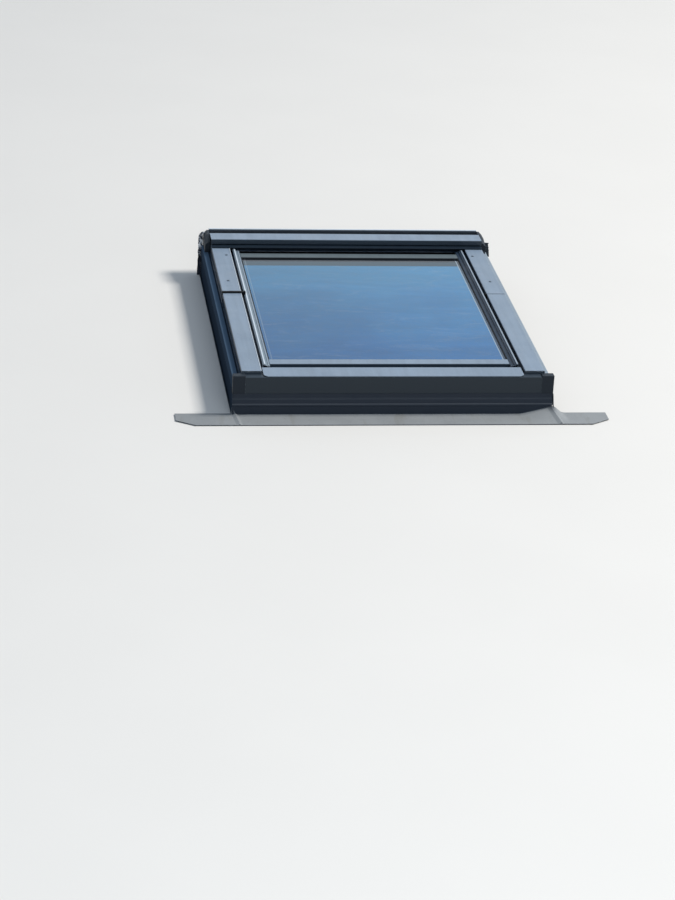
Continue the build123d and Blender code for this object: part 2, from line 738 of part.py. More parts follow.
# Ventilation flap, control bar and bolt at the top of the sash
with BuildPart() as fitting_plate_right:
    fitting_bottom = bar_pivot_level - fitting_margin
    fitting_height = flap_pivot_level + fitting_margin - fitting_bottom
    with BuildSketch(Plane.YZ.offset(fitting_x)) as fitting_section:
        with Locations((sash_back, fitting_bottom)):
            Rectangle(2 * fitting_offset, fitting_height, align=(Align.MIN, Align.MIN))
        fillet(fitting_section.vertices().group_by(Axis.X)[-1], fitting_round)
        with Locations((fitting_y, bar_pivot_level), (fitting_y, flap_pivot_level)):
            Circle(fitting_pin_radius + fit_play, mode=Mode.SUBTRACT)
    extrude(amount=fitting_plate)
    with Locations((fitting_x, sash_back, fitting_bottom)):
        Box(fitting_foot, fitting_foot_sheet, fitting_height, align=(Align.MIN, Align.MIN, Align.MIN))

with BuildPart() as fitting_plate_left:
    mirror(fitting_plate_right.part, about=Plane.YZ)

with BuildPart() as vent_flap:
    flap_half = bar_half_length + bar_arm_sheet
    flap_tip = opening_y - back_strip_width - flap_strip_gap
    pin_end = fitting_x + fitting_plate - pin_recess
    with BuildSketch(Plane.YZ.offset(-flap_half)):
        with Locations((fitting_y, flap_pivot_level)):
            Circle(fitting_pin_radius + pin_recess)
            Rectangle(flap_tip - fitting_y, flap_sheet, align=(Align.MIN, Align.CENTER))
        with Locations((flap_tip, flap_pivot_level + flap_sheet / 2)):
            Rectangle(flap_sheet, flap_lip, align=(Align.MAX, Align.MAX))
    extrude(amount=2 * flap_half)
    with BuildSketch(Plane.YZ.offset(-pin_end)):
        with Locations((fitting_y, flap_pivot_level)):
            Circle(fitting_pin_radius)
    extrude(amount=2 * pin_end)

with BuildPart() as control_bar:
    bar_y = fitting_y + bar_reach[0]
    bar_z = bar_pivot_level + bar_reach[1]
    with BuildSketch(Plane.YZ.offset(-bar_half_length)):
        with Locations((bar_y, bar_z)):
            Ellipse(bar_width / 2, bar_height / 2)
    extrude(amount=2 * bar_half_length)
    for side in (-1, 1):
        with BuildSketch(Plane.YZ.offset(side * bar_half_length)):
            with BuildLine():
                arm_line = Line((fitting_y, bar_pivot_level), (bar_y, bar_z))
            with Locations(Location(tuple(arm_line @ 0.5), (0, 0, arm_line.tangent_angle_at(0)))):
                SlotCenterToCenter(arm_line.length, bar_height)
        extrude(amount=side * bar_arm_sheet)
        with BuildSketch(Plane.YZ.offset(side * pin_end)):
            with Locations((fitting_y, bar_pivot_level)):
                Circle(fitting_pin_radius)
        extrude(amount=side * (bar_half_length - pin_end))

with BuildPart() as lock_case:
    with Locations((0, sash_back, lock_levels[0])):
        Box(2 * lock_half_width, lock_depth, lock_levels[1] - lock_levels[0],
            align=(Align.CENTER, Align.MIN, Align.MIN))
    fillet(lock_case.edges().filter_by(Axis.Z).group_by(Axis.Y)[-1], fitting_round)
    catch_end = opening_y - striker_sheet - soft_gap
    with Locations((0, catch_end, lock_middle)):
        Box(2 * catch_half_width, catch_end - sash_back - lock_depth / 2, catch_height,
            align=(Align.CENTER, Align.MAX, Align.CENTER))

with BuildPart() as bolt_case:
    bolt_case_end = sash_x - bolt_case_inset
    with Locations((bolt_case_end, sash_back, bolt_level)):
        Box(*bolt_case_size, align=(Align.MAX, Align.MIN, Align.CENTER))
    fillet(bolt_case.edges().filter_by(Axis.X).group_by(Axis.Y)[-1], bolt_case_round)
    with BuildSketch(Plane.YZ.offset(sash_x)):
        with Locations((fitting_y, bolt_level)):
            Circle(bolt_radius + fit_play)
    extrude(amount=-2 * bolt_case_size[0], mode=Mode.SUBTRACT)

with BuildPart() as barrel_bolt:
    knob_start = bolt_case_end - bolt_case_size[0] - bolt_knob_gap - bolt_stroke - bolt_knob_width
    with BuildSketch(Plane.YZ.offset(knob_start)):
        with Locations((fitting_y, bolt_level)):
            Circle(bolt_knob_radius)
    extrude(amount=bolt_knob_width)
    with BuildSketch(Plane.YZ.offset(knob_start)):
        with Locations((fitting_y, bolt_level)):
            Circle(bolt_radius)
    extrude(amount=bolt_case_end - knob_start)
    chamfer(barrel_bolt.edges().group_by(Axis.X)[-1], bolt_tip_chamfer)

pieces = {
    "frame_bottom_rail": frame_bottom_rail,
    "frame_top_rail": frame_top_rail,
    "frame_stile_left": frame_stile_left,
    "frame_stile_right": frame_stile_right,
    "frame_gaskets": frame_gaskets,
    "side_cladding_left": side_cladding_left,
    "side_cladding_right": side_cladding_right,
    "upper_cover_left": upper_cover_left,
    "upper_cover_right": upper_cover_right,
    "cover_seals": cover_seals,
    "front_cover": front_cover,
    "front_cap_left": front_cap_left,
    "front_cap_right": front_cap_right,
    "hood": hood,
    "hood_carrier": hood_carrier,
    "hood_cap_left": hood_cap_left,
    "hood_cap_right": hood_cap_right,
    "hinge_housing_left": hinge_housing_left,
    "hinge_housing_right": hinge_housing_right,
    "striker_plate": striker_plate,
    "bolt_bush": bolt_bush,
    **mounting_brackets,
    "apron": apron,
    "apron_corner_left": apron_corner_left,
    "apron_corner_right": apron_corner_right,
    "side_flashing_left": side_flashing_left,
    "side_flashing_right": side_flashing_right,
    "top_flashing": top_flashing,
    "sash_bottom_rail": sash_bottom_rail,
    "sash_top_rail": sash_top_rail,
    "sash_stile_left": sash_stile_left,
    "sash_stile_right": sash_stile_right,
    "glazing_gasket": glazing_gasket,
    "inner_pane": inner_pane,
    "glazing_spacer": glazing_spacer,
    "outer_pane": outer_pane,
    "glazing_profile_left": glazing_profile_left,
    "glazing_profile_right": glazing_profile_right,
    "glazing_profile_bottom": glazing_profile_bottom,
    "glazing_profile_top": glazing_profile_top,
    "lower_cover_left": lower_cover_left,
    "lower_cover_right": lower_cover_right,
    "sash_bottom_cover": sash_bottom_cover,
    "hinge_arm_left": hinge_arm_left,
    "hinge_arm_right": hinge_arm_right,
    "fitting_plate_left": fitting_plate_left,
    "fitting_plate_right": fitting_plate_right,
    "lock_case": lock_case,
    "bolt_case": bolt_case,
    "vent_flap": vent_flap,
    "control_bar": control_bar,
    "barrel_bolt": barrel_bolt,
}

os.makedirs("parts", exist_ok=True)
for label, piece in pieces.items():
    piece.part.label = label
    export_step(piece.part, f"parts/{label}.step")
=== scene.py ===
"""Roof window with its plain-tile flashing: finishes, small pieces and stage round the model."""
import json
import logging
import math
from dataclasses import dataclass
from enum import Enum
from typing import Callable, Iterable, Sequence

import bpy
from bpy.types import Material, MeshPolygon, Node, NodeSocket, Object, World
from mathutils import Matrix, Vector, noise

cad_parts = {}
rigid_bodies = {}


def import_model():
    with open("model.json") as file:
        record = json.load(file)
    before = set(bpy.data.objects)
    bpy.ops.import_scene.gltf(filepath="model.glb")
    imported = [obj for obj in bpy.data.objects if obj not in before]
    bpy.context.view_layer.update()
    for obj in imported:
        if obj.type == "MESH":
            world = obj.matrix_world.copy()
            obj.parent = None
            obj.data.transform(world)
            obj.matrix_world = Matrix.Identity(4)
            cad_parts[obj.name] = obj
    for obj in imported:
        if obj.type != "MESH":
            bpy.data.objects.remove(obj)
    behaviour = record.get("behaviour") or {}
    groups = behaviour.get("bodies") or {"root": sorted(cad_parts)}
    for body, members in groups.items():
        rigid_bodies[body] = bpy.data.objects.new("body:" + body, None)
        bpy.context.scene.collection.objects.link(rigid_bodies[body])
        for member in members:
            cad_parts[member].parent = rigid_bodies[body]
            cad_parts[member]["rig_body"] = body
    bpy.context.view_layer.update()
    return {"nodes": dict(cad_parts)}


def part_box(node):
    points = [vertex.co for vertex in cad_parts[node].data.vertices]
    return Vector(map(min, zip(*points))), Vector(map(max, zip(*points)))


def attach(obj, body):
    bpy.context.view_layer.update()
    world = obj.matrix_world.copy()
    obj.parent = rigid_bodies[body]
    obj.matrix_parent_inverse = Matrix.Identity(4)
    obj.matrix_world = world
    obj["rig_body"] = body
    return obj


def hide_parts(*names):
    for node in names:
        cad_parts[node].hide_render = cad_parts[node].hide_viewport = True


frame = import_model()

LOG = logging.getLogger("roof_window")
Colour = tuple[float, float, float]
Point = tuple[float, float, float]
Span = tuple[float, float]
MM = 0.001
EVEN: Point = (1.0, 1.0, 1.0)
UPWARD = 0.9


def srgb(red: int, green: int, blue: int) -> Colour:
    """Turns a colour as it is seen into the linear values that a shader takes.

    Args:
        red: Red, 0 to 255.
        green: Green, 0 to 255.
        blue: Blue, 0 to 255.

    Returns:
        The colour in linear values, 0 to 1.
    """
    def linear(value: int) -> float:
        """One channel in linear light."""
        share = value / 255
        return share / 12.92 if share <= 0.04045 else ((share + 0.055) / 1.055) ** 2.4
    return linear(red), linear(green), linear(blue)


def held(value: float) -> float:
    """Holds a value between 0 and 1."""
    return min(max(value, 0.0), 1.0)


class Direction(Enum):
    """The way a timber's grain runs, by its axis."""

    ACROSS = 0
    UPSLOPE = 1


class Tree:
    """A node tree, built with short calls."""

    def __init__(self, owner: Material | World) -> None:
        """Empties the node tree of a material or a world.

        Args:
            owner: The material or world.
        """
        owner.use_nodes = True
        self.tree = owner.node_tree
        self.tree.nodes.clear()

    def add(self, kind: str, feeds: dict[int | str, object] | None = None,
            **settings: object) -> Node:
        """Adds a node, sets its own settings and fills its inputs.

        Args:
            kind: The node's type name, without ShaderNode.
            feeds: What each input takes, by its number or name.
            **settings: Attributes of the node.

        Returns:
            The new node.
        """
        made = self.tree.nodes.new("ShaderNode" + kind)
        for key, value in settings.items():
            setattr(made, key, value)
        for key, value in (feeds or {}).items():
            self.feed(made.inputs[key], value)
        return made

    def feed(self, socket: NodeSocket, value: object) -> None:
        """Gives an input a link or a constant.

        Args:
            socket: The input.
            value: Another node's output, a number, a vector or a colour.
        """
        if isinstance(value, NodeSocket):
            self.tree.links.new(value, socket)
        else:
            socket.default_value = (*value, 1.0) if socket.type == "RGBA" else value


class Graph(Tree):
    """A material's nodes, round a Principled shader and on the piece's own coordinates."""

    def __init__(self, name: str) -> None:
        """Starts a material.

        Args:
            name: The material's name.
        """
        self.material = bpy.data.materials.new(name)
        super().__init__(self.material)
        self.shader = self.add("BsdfPrincipled")
        self.add("OutputMaterial", {0: self.shader.outputs[0]})
        self.place = self.add("TexCoord")

    def scaled(self, stretch: Point, centre: Point = (0.0, 0.0, 0.0)) -> NodeSocket:
        """Object coordinates times stretch, plus centre."""
        return self.add("Mapping", {"Vector": self.place.outputs["Object"], "Scale": stretch,
                                    "Location": centre}).outputs["Vector"]

    def noise(self, scale: float, detail: float = 3.0, rough: float = 0.5, stretch: Point = EVEN,
              twist: float = 0.0) -> NodeSocket:
        """Fractal noise, about 0 to 1, with scale waves per metre, detail octaves and a twist."""
        return self.add("TexNoise", {"Vector": self.scaled(stretch), "Scale": scale,
                                     "Detail": detail, "Roughness": rough,
                                     "Distortion": twist}).outputs["Fac"]

    def cells(self, scale: float, stretch: Point = EVEN) -> Node:
        """A Voronoi texture with scale cells per metre."""
        return self.add("TexVoronoi", {"Vector": self.scaled(stretch), "Scale": scale})

    def span(self, value: NodeSocket, low: float, high: float, to_low: float = 0.0,
             to_high: float = 1.0) -> NodeSocket:
        """Maps low to high smoothly to to_low to to_high, and holds what lies beyond."""
        feeds = dict(enumerate((value, low, high, to_low, to_high)))
        return self.add("MapRange", feeds, interpolation_type="SMOOTHSTEP").outputs[0]

    def maths(self, kind: str, *values: object) -> NodeSocket:
        """Arithmetic on values, of a kind such as ADD."""
        return self.add("Math", dict(enumerate(values)), operation=kind).outputs[0]

    def product(self, first: NodeSocket, *others: object) -> NodeSocket:
        """Multiplies values, one after the other.

        Args:
            first: The first value.
            *others: What it is multiplied by.

        Returns:
            The product.
        """
        for other in others:
            first = self.maths("MULTIPLY", first, other)
        return first

    def blend(self, share: object, first: object, second: object) -> NodeSocket:
        """Mixes two colours, with share of the second."""
        return self.add("Mix", {"Factor": share, 6: first, 7: second}, data_type="RGBA").outputs[2]

    def level(self, axis: int = 2) -> NodeSocket:
        """A point's own X, Y or Z in metres, for axis 0, 1 or 2."""
        return self.add("SeparateXYZ", {0: self.place.outputs["Object"]}).outputs[axis]

    def facing_up(self, low: float = 0.35, high: float = 0.9) -> NodeSocket:
        """How far a face looks out of the roof, from 0 at a normal's low Z to 1 at a high one."""
        parts = self.add("SeparateXYZ", {0: self.place.outputs["Normal"]})
        return self.span(parts.outputs[2], low, high)

    def edges(self, radius: float) -> NodeSocket:
        """Where a face is near a sharp edge, by how far the rounded normal bends there.

        Args:
            radius: How far from the edge, in metres.

        Returns:
            0 to 1.
        """
        rounded = self.add("Bevel", {"Radius": radius}, samples=6)
        plain = self.add("NewGeometry")
        turn = self.add("VectorMath", {0: rounded.outputs[0], 1: plain.outputs["Normal"]},
                        operation="DOT_PRODUCT")
        return self.span(self.maths("SUBTRACT", 1.0, turn.outputs["Value"]), 0.02, 0.16)

    def bump(self, layers: Sequence[tuple[NodeSocket, float]], edge: float = 0.0) -> None:
        """Gives the shader its surface relief.

        Args:
            layers: Height and depth in metres of each relief.
            edge: Radius in metres to which edges look rounded.
        """
        normal = self.add("Bevel", {"Radius": edge}, samples=4).outputs[0] if edge else None
        for height, depth in layers:
            feeds = {"Strength": 1.0, "Distance": depth, "Height": height}
            if normal is not None:
                feeds["Normal"] = normal
            normal = self.add("Bump", feeds).outputs[0]
        self.feed(self.shader.inputs["Normal"], normal)

    def set(self, **values: object) -> Material:
        """Fills the shader's sockets.

        Args:
            **values: Socket names, with _ for a space, and their values.

        Returns:
            The finished material.
        """
        for key, value in values.items():
            self.feed(self.shader.inputs[key.replace("_", " ")], value)
        return self.material


@dataclass(frozen=True)
class SheetPaint:
    """Dark stove-enamelled aluminium, greyed by dust and rain and lightened by painted sky light
    where it looks at the sky.
    """

    name: str = "cladding_paint"
    clean: Colour = srgb(40, 52, 63)
    dust_and_skylight: Colour = srgb(130, 147, 165)
    bare_and_highlight: Colour = srgb(190, 203, 214)
    gloss: float = 0.34
    relief: float = 0.18 * MM
    index: float = 1.42
    shine: float = 0.5
    wear_and_highlight: float = 0.55
    rim: float = 1.2 * MM
    patches: Span = (0.42, 0.68)
    shadows: tuple[tuple[int, float, float], ...] = ()
    shadow_colour: Colour = srgb(26, 34, 43)
    shadow_share: float = 0.85
    drop_share: float = 0.45

    def build(self) -> Material:
        """Lays dust with painted sky light, rain runs, dried drops, worn rims with painted
        highlights and painted shadow strips over the paint.

        Returns:
            The finished material.
        """
        g = Graph(self.name)
        broad = g.noise(7.0, 4.0, 0.55)
        fine = g.noise(420.0, 2.0, 0.6)
        runs = g.noise(60.0, 3.0, 0.6, (1.0, 0.06, 1.0))
        # Dust and painted sky light: faces that look at the sky are lightened towards the lighter
        # colour.
        film = g.product(g.facing_up(), g.span(broad, 0.2, 0.75, 0.86, 1.0),
                         g.span(runs, 0.3, 0.7, 0.9, 1.04), g.span(fine, 0.25, 0.75, 0.93, 1.05))
        grey = g.blend(film, self.clean, self.dust_and_skylight)
        spot = g.span(g.cells(95.0).outputs["Distance"], 0.10, 0.17, 1.0, 0.0)
        rare = g.span(g.noise(40.0, 1.0), 0.60, 0.66)
        grey = g.blend(g.product(spot, rare, self.drop_share), grey, self.clean)
        # Rims: worn paint and painted highlights on the bends; with a high share and few gaps they
        # run on as unbroken highlights.
        flaked = g.span(g.noise(130.0, 4.0, 0.7), *self.patches)
        colour = g.blend(g.product(g.edges(self.rim), flaked, self.wear_and_highlight), grey, self.bare_and_highlight)
        # Painted shadow strips, darkened to the shadow colour.
        for axis, place, reach in self.shadows:
            strip = g.maths("COMPARE", g.maths("ABSOLUTE", g.level(axis)), place, reach)
            colour = g.blend(g.product(strip, self.shadow_share), colour, self.shadow_colour)
        rough = g.span(g.noise(24.0, 4.0, 0.6), 0.25, 0.75, self.gloss - 0.05, self.gloss + 0.08)
        rough = g.maths("ADD", rough, g.product(film, 0.10))
        g.bump([(g.noise(9.0, 2.0, 0.4), self.relief * 4), (g.noise(1400.0, 1.0, 0.5), 0.012 * MM)],
               1.2 * MM)
        return g.set(Base_Color=colour, Roughness=rough, IOR=self.index,
                     Specular_IOR_Level=self.shine)


@dataclass(frozen=True)
class FlashingSheet:
    """Painted soft aluminium sheet, dressed by hand, with dust and stains, and painted sky light on
    its low flat parts.
    """

    name: str = "flashing_sheet"
    clean: Colour = srgb(38, 46, 57)
    dust_and_skylight: Colour = srgb(146, 150, 152)
    stain: Colour = srgb(122, 121, 112)
    bare_and_highlight: Colour = srgb(196, 202, 206)
    dust_and_skylight_below: float = 0.040
    worn_below: float = 0.060
    shine: float = 0.35
    wear_and_highlight: float = 0.55

    def build(self) -> Material:
        """Lays dust and painted sky light on the low flat parts, streaks and specks, and wears the
        edges.

        Returns:
            The finished material.
        """
        g = Graph(self.name)
        # Dust and painted sky light: the low faces that look up are lightened towards the lighter
        # colour.
        film = g.product(g.facing_up(0.2, 0.85),
                         g.span(g.noise(11.0, 5.0, 0.6), 0.2, 0.8, 0.86, 1.04),
                         g.span(g.level(), self.dust_and_skylight_below, self.dust_and_skylight_below + 0.012, 1.0, 0.08))
        grey = g.blend(film, self.clean, self.dust_and_skylight)
        streak = g.span(g.noise(30.0, 5.0, 0.65, (1.0, 0.18, 1.0), 0.4), 0.52, 0.72)
        grey = g.blend(g.product(streak, film, 0.45), grey, self.stain)
        speck = g.span(g.noise(260.0, 2.0, 0.5), 0.62, 0.72)
        grey = g.blend(g.product(speck, 0.18), grey, self.clean)
        low = g.span(g.level(), self.worn_below, self.worn_below + 0.006, self.wear_and_highlight, 0.06)
        worn = g.product(g.edges(1.4 * MM), g.span(g.noise(90.0, 4.0, 0.7), 0.40, 0.62), low)
        rough = g.span(g.noise(18.0, 4.0, 0.6), 0.2, 0.8, 0.42, 0.60)
        g.bump([(g.noise(14.0, 2.0, 0.4), 0.6 * MM), (g.noise(110.0, 2.0, 0.5), 0.10 * MM),
                (g.noise(900.0, 2.0, 0.5), 0.02 * MM)], 0.6 * MM)
        return g.set(Base_Color=g.blend(worn, grey, self.bare_and_highlight), Roughness=rough, IOR=1.35,
                     Specular_IOR_Level=self.shine)


@dataclass(frozen=True)
class CrumpledSheet:
    """Flashing that was folded by hand: its paint has cracked off the creases of its upper half,
    and the bright metal there is partly painted glints.
    """

    name: str = "crumpled_sheet"
    paint: Colour = srgb(30, 38, 52)
    bare_and_highlight: Colour = srgb(226, 231, 236)
    dull: Colour = srgb(128, 136, 146)
    cracked_above: float = 0.088

    def build(self) -> Material:
        """Flakes the paint off the sheet above a line, to bright metal that is partly painted
        glints.

        Returns:
            The finished material.
        """
        g = Graph(self.name)
        high = g.span(g.level(), self.cracked_above - 0.010, self.cracked_above + 0.006)
        flaked = g.product(high, g.span(g.noise(95.0, 3.0, 0.6), 0.42, 0.50))
        metal = g.blend(g.span(g.noise(240.0, 3.0, 0.6), 0.35, 0.65), self.dull, self.bare_and_highlight)
        g.bump([(g.noise(160.0, 3.0, 0.6), 0.4 * MM), (g.noise(900.0, 2.0, 0.5), 0.02 * MM)],
               0.4 * MM)
        return g.set(Base_Color=g.blend(flaked, self.paint, metal),
                     Roughness=g.span(flaked, 0.0, 1.0, 0.55, 0.34),
                     Metallic=g.product(flaked, 0.35), IOR=1.35)


@dataclass(frozen=True)
class Timber:
    """Clear-lacquered pine with rings, fibres and a few knots, painted above the covers' line."""

    name: str
    along: Direction
    early: Colour = srgb(222, 186, 132)
    late: Colour = srgb(195, 146, 90)
    knot: Colour = srgb(112, 66, 34)
    coat: Colour = srgb(74, 94, 118)
    coated_above: float = 0.098
    heart: Point = (0.11, 0.07, 0.16)

    def drawn_out(self, share: float) -> Point:
        """The stretch that leaves share of a pattern's waves along the grain."""
        return tuple(share if axis == self.along.value else 1.0 for axis in range(3))

    def build(self) -> Material:
        """Draws the year rings round the heart, then the fibres, the knots and the paint.

        Returns:
            The finished material.
        """
        g = Graph(self.name)
        long_way = self.drawn_out(0.05)
        bent = g.add("VectorMath", {0: g.noise(9.0, 2.0, 0.5, long_way), 1: (0.045, 0.045, 0.045),
                                    2: g.scaled(long_way, self.heart)}, operation="MULTIPLY_ADD")
        rings = g.add("TexWave", {"Vector": bent.outputs[0], "Scale": 42.0, "Distortion": 0.8},
                      wave_type="RINGS", wave_profile="SAW", rings_direction="XY"[self.along.value])
        ring = g.span(rings.outputs["Fac"], 0.30, 0.98)
        fibre = g.noise(520.0, 3.0, 0.6, self.drawn_out(0.012))
        wood = g.blend(ring, self.early, self.late)
        wood = g.blend(g.span(fibre, 0.3, 0.75, 0.0, 0.30), wood, self.late)
        wood = g.blend(g.span(g.noise(5.0, 2.0, 0.5), 0.3, 0.75, 0.0, 0.22), wood, self.late)
        eye = g.span(g.cells(7.0, self.drawn_out(0.55)).outputs["Distance"], 0.05, 0.11, 1.0, 0.0)
        wood = g.blend(g.product(eye, 0.7), wood, self.knot)
        painted = g.span(g.level(), self.coated_above, self.coated_above + 0.8 * MM)
        g.bump([(fibre, 0.10 * MM), (ring, 0.08 * MM)], 0.8 * MM)
        return g.set(Base_Color=g.blend(painted, wood, self.coat), IOR=1.5, Coat_Weight=0.35,
                     Roughness=g.span(fibre, 0.2, 0.8, 0.30, 0.44), Coat_Roughness=0.18)


@dataclass(frozen=True)
class Rubber:
    """Black weather-strip rubber with chalky dust on it."""

    name: str = "seal_rubber"
    black: Colour = srgb(17, 20, 24)
    chalk: Colour = srgb(44, 49, 54)

    def build(self) -> Material:
        """Dusts the black rubber.

        Returns:
            The finished material.
        """
        g = Graph(self.name)
        dust = g.span(g.noise(60.0, 4.0, 0.6), 0.45, 0.8, 0.0, 0.45)
        g.bump([(g.noise(700.0, 2.0, 0.6), 0.05 * MM)], 0.4 * MM)
        return g.set(Base_Color=g.blend(dust, self.black, self.chalk), IOR=1.45,
                     Roughness=g.span(dust, 0.0, 0.5, 0.52, 0.78), Specular_IOR_Level=0.12)


@dataclass(frozen=True)
class Plastic:
    """Moulded plastic or rubber with a fine spark-eroded grain."""

    name: str
    body: Colour
    dust: Colour
    shine: float = 0.5

    def build(self) -> Material:
        """Settles dust on the upper faces, in the grain and along the edges.

        Returns:
            The finished material.
        """
        g = Graph(self.name)
        settled = g.product(g.facing_up(), g.span(g.noise(45.0, 4.0, 0.6), 0.3, 0.75, 0.45, 1.0))
        colour = g.blend(settled, self.body, self.dust)
        colour = g.blend(g.span(g.noise(240.0, 2.0, 0.5), 0.45, 0.75, 0.0, 0.16), colour, self.dust)
        worn = g.product(g.edges(1.0 * MM), g.span(g.noise(160.0, 3.0, 0.6), 0.45, 0.7), 0.35)
        g.bump([(g.noise(1500.0, 2.0, 0.7), 0.04 * MM), (g.noise(30.0, 1.0), 0.2 * MM)], 0.8 * MM)
        return g.set(Base_Color=g.blend(worn, colour, self.dust), IOR=1.48,
                     Roughness=g.span(g.noise(90.0, 3.0, 0.6), 0.2, 0.8, 0.42, 0.60),
                     Specular_IOR_Level=self.shine)


@dataclass(frozen=True)
class CoatedGlass:
    """Float glass with a thin metal coating, coloured by a painted reflection of a blue sky."""

    name: str
    low: Colour
    high: Colour
    coating: float
    painted_reflection_span: Span = (0.291, 0.323)
    painted_reflection: Colour = srgb(62, 92, 110)
    spacer_at: float = 0.2868
    painted_spacer_glint: Colour = srgb(178, 196, 210)
    painted_spacer_shade: Colour = srgb(30, 46, 64)
    dust: Colour = srgb(196, 204, 212)

    def build(self) -> Material:
        """Paints a sky reflection, lighter to the right, with clouds, a reflected stripe, the
        spacer's glint and its shade.

        Returns:
            The finished material.
        """
        g = Graph(self.name)
        across, up = g.level(0), g.level(1)
        drift = g.span(g.noise(3.2, 3.0, 0.5), 0.3, 0.7, -0.09, 0.09)
        # Painted reflection: the sky grows lighter from the pane's low to its high end, lighter to
        # the right, with painted clouds.
        sky = g.blend(g.span(g.maths("ADD", up, drift), -0.42, 0.34), self.low, self.high)
        side = g.span(across, -0.30, 0.32, 0.94, 1.18)
        painted_clouds = g.span(g.noise(7.0, 5.0, 0.62, (0.45, 1.9, 1.0), 0.6), 0.35, 0.75, 0.96, 1.10)
        film = g.span(g.noise(16.0, 7.0, 0.74, (0.5, 1.5, 1.0), 0.9), 0.50, 0.80, 0.0, 0.20)
        tinted = g.add("VectorMath", {0: sky, "Scale": g.product(side, painted_clouds)}, operation="SCALE")
        colour = g.blend(film, tinted.outputs[0], self.dust)
        # Painted reflection: a lighter stripe across the pane near its high end.
        start, end = self.painted_reflection_span
        colour = g.blend(g.span(up, start - 3 * MM, start + 3 * MM), colour, self.painted_reflection)
        # Painted shade: dark from the stripe's end to the pane's high edge, and next to the
        # spacer's line.
        colour = g.blend(g.span(up, end - 2 * MM, end + 3 * MM), colour, self.painted_spacer_shade)
        behind = g.span(across, self.spacer_at + 1.2 * MM, self.spacer_at + 2.0 * MM, 0.0, 0.85)
        colour = g.blend(behind, colour, self.painted_spacer_shade)
        # Painted highlight: a bright glint along the spacer's line, stronger on the right.
        line = g.maths("COMPARE", g.maths("ABSOLUTE", across), self.spacer_at, 1.3 * MM)
        glint_share = g.product(line, g.span(across, -0.29, 0.29, 0.30, 0.85))
        g.bump([(g.noise(4.0, 1.0, 0.4), 0.35 * MM)])
        return g.set(Base_Color=g.blend(glint_share, colour, self.painted_spacer_glint), IOR=1.42,
                     Roughness=g.span(g.noise(60.0, 4.0, 0.6), 0.4, 0.8, 0.012, 0.05),
                     Metallic=self.coating, Transmission_Weight=1.0)


@dataclass(frozen=True)
class Metal:
    """A bare or plated metal with brushing, spangle or small scratches."""

    name: str
    tint: Colour
    deep: Colour
    rough: Span
    spangle: float = 0.0
    brushed: bool = False

    def build(self) -> Material:
        """Mixes the spangle or the brushing into the tone, then adds grime and scratches.

        Returns:
            The finished material.
        """
        g = Graph(self.name)
        share = g.span(g.noise(70.0, 4.0, 0.6), 0.3, 0.75)
        relief = [(g.noise(600.0, 2.0, 0.6), 0.01 * MM)]
        if self.spangle:
            parts = g.add("SeparateColor", {0: g.cells(self.spangle).outputs["Color"]})
            share = g.maths("MULTIPLY_ADD", parts.outputs[0], 0.7, g.product(share, 0.3))
        if self.brushed:
            lines = g.noise(900.0, 2.0, 0.5, (0.01, 1.0, 1.0))
            share = g.maths("MULTIPLY_ADD", lines, 0.6, g.product(share, 0.4))
            relief.append((lines, 0.02 * MM))
        grime = g.span(g.noise(22.0, 4.0, 0.65), 0.55, 0.8, 0.0, 0.25)
        scratch = g.span(g.noise(35.0, 2.0, 0.5, (12.0, 0.6, 3.0), 1.5), 0.66, 0.70, 0.0, 0.08)
        g.bump(relief, 0.5 * MM)
        return g.set(Base_Color=g.blend(grime, g.blend(share, self.deep, self.tint), self.deep),
                     Roughness=g.maths("ADD", g.span(share, 0.0, 1.0, *self.rough[::-1]), scratch),
                     Metallic=1.0)


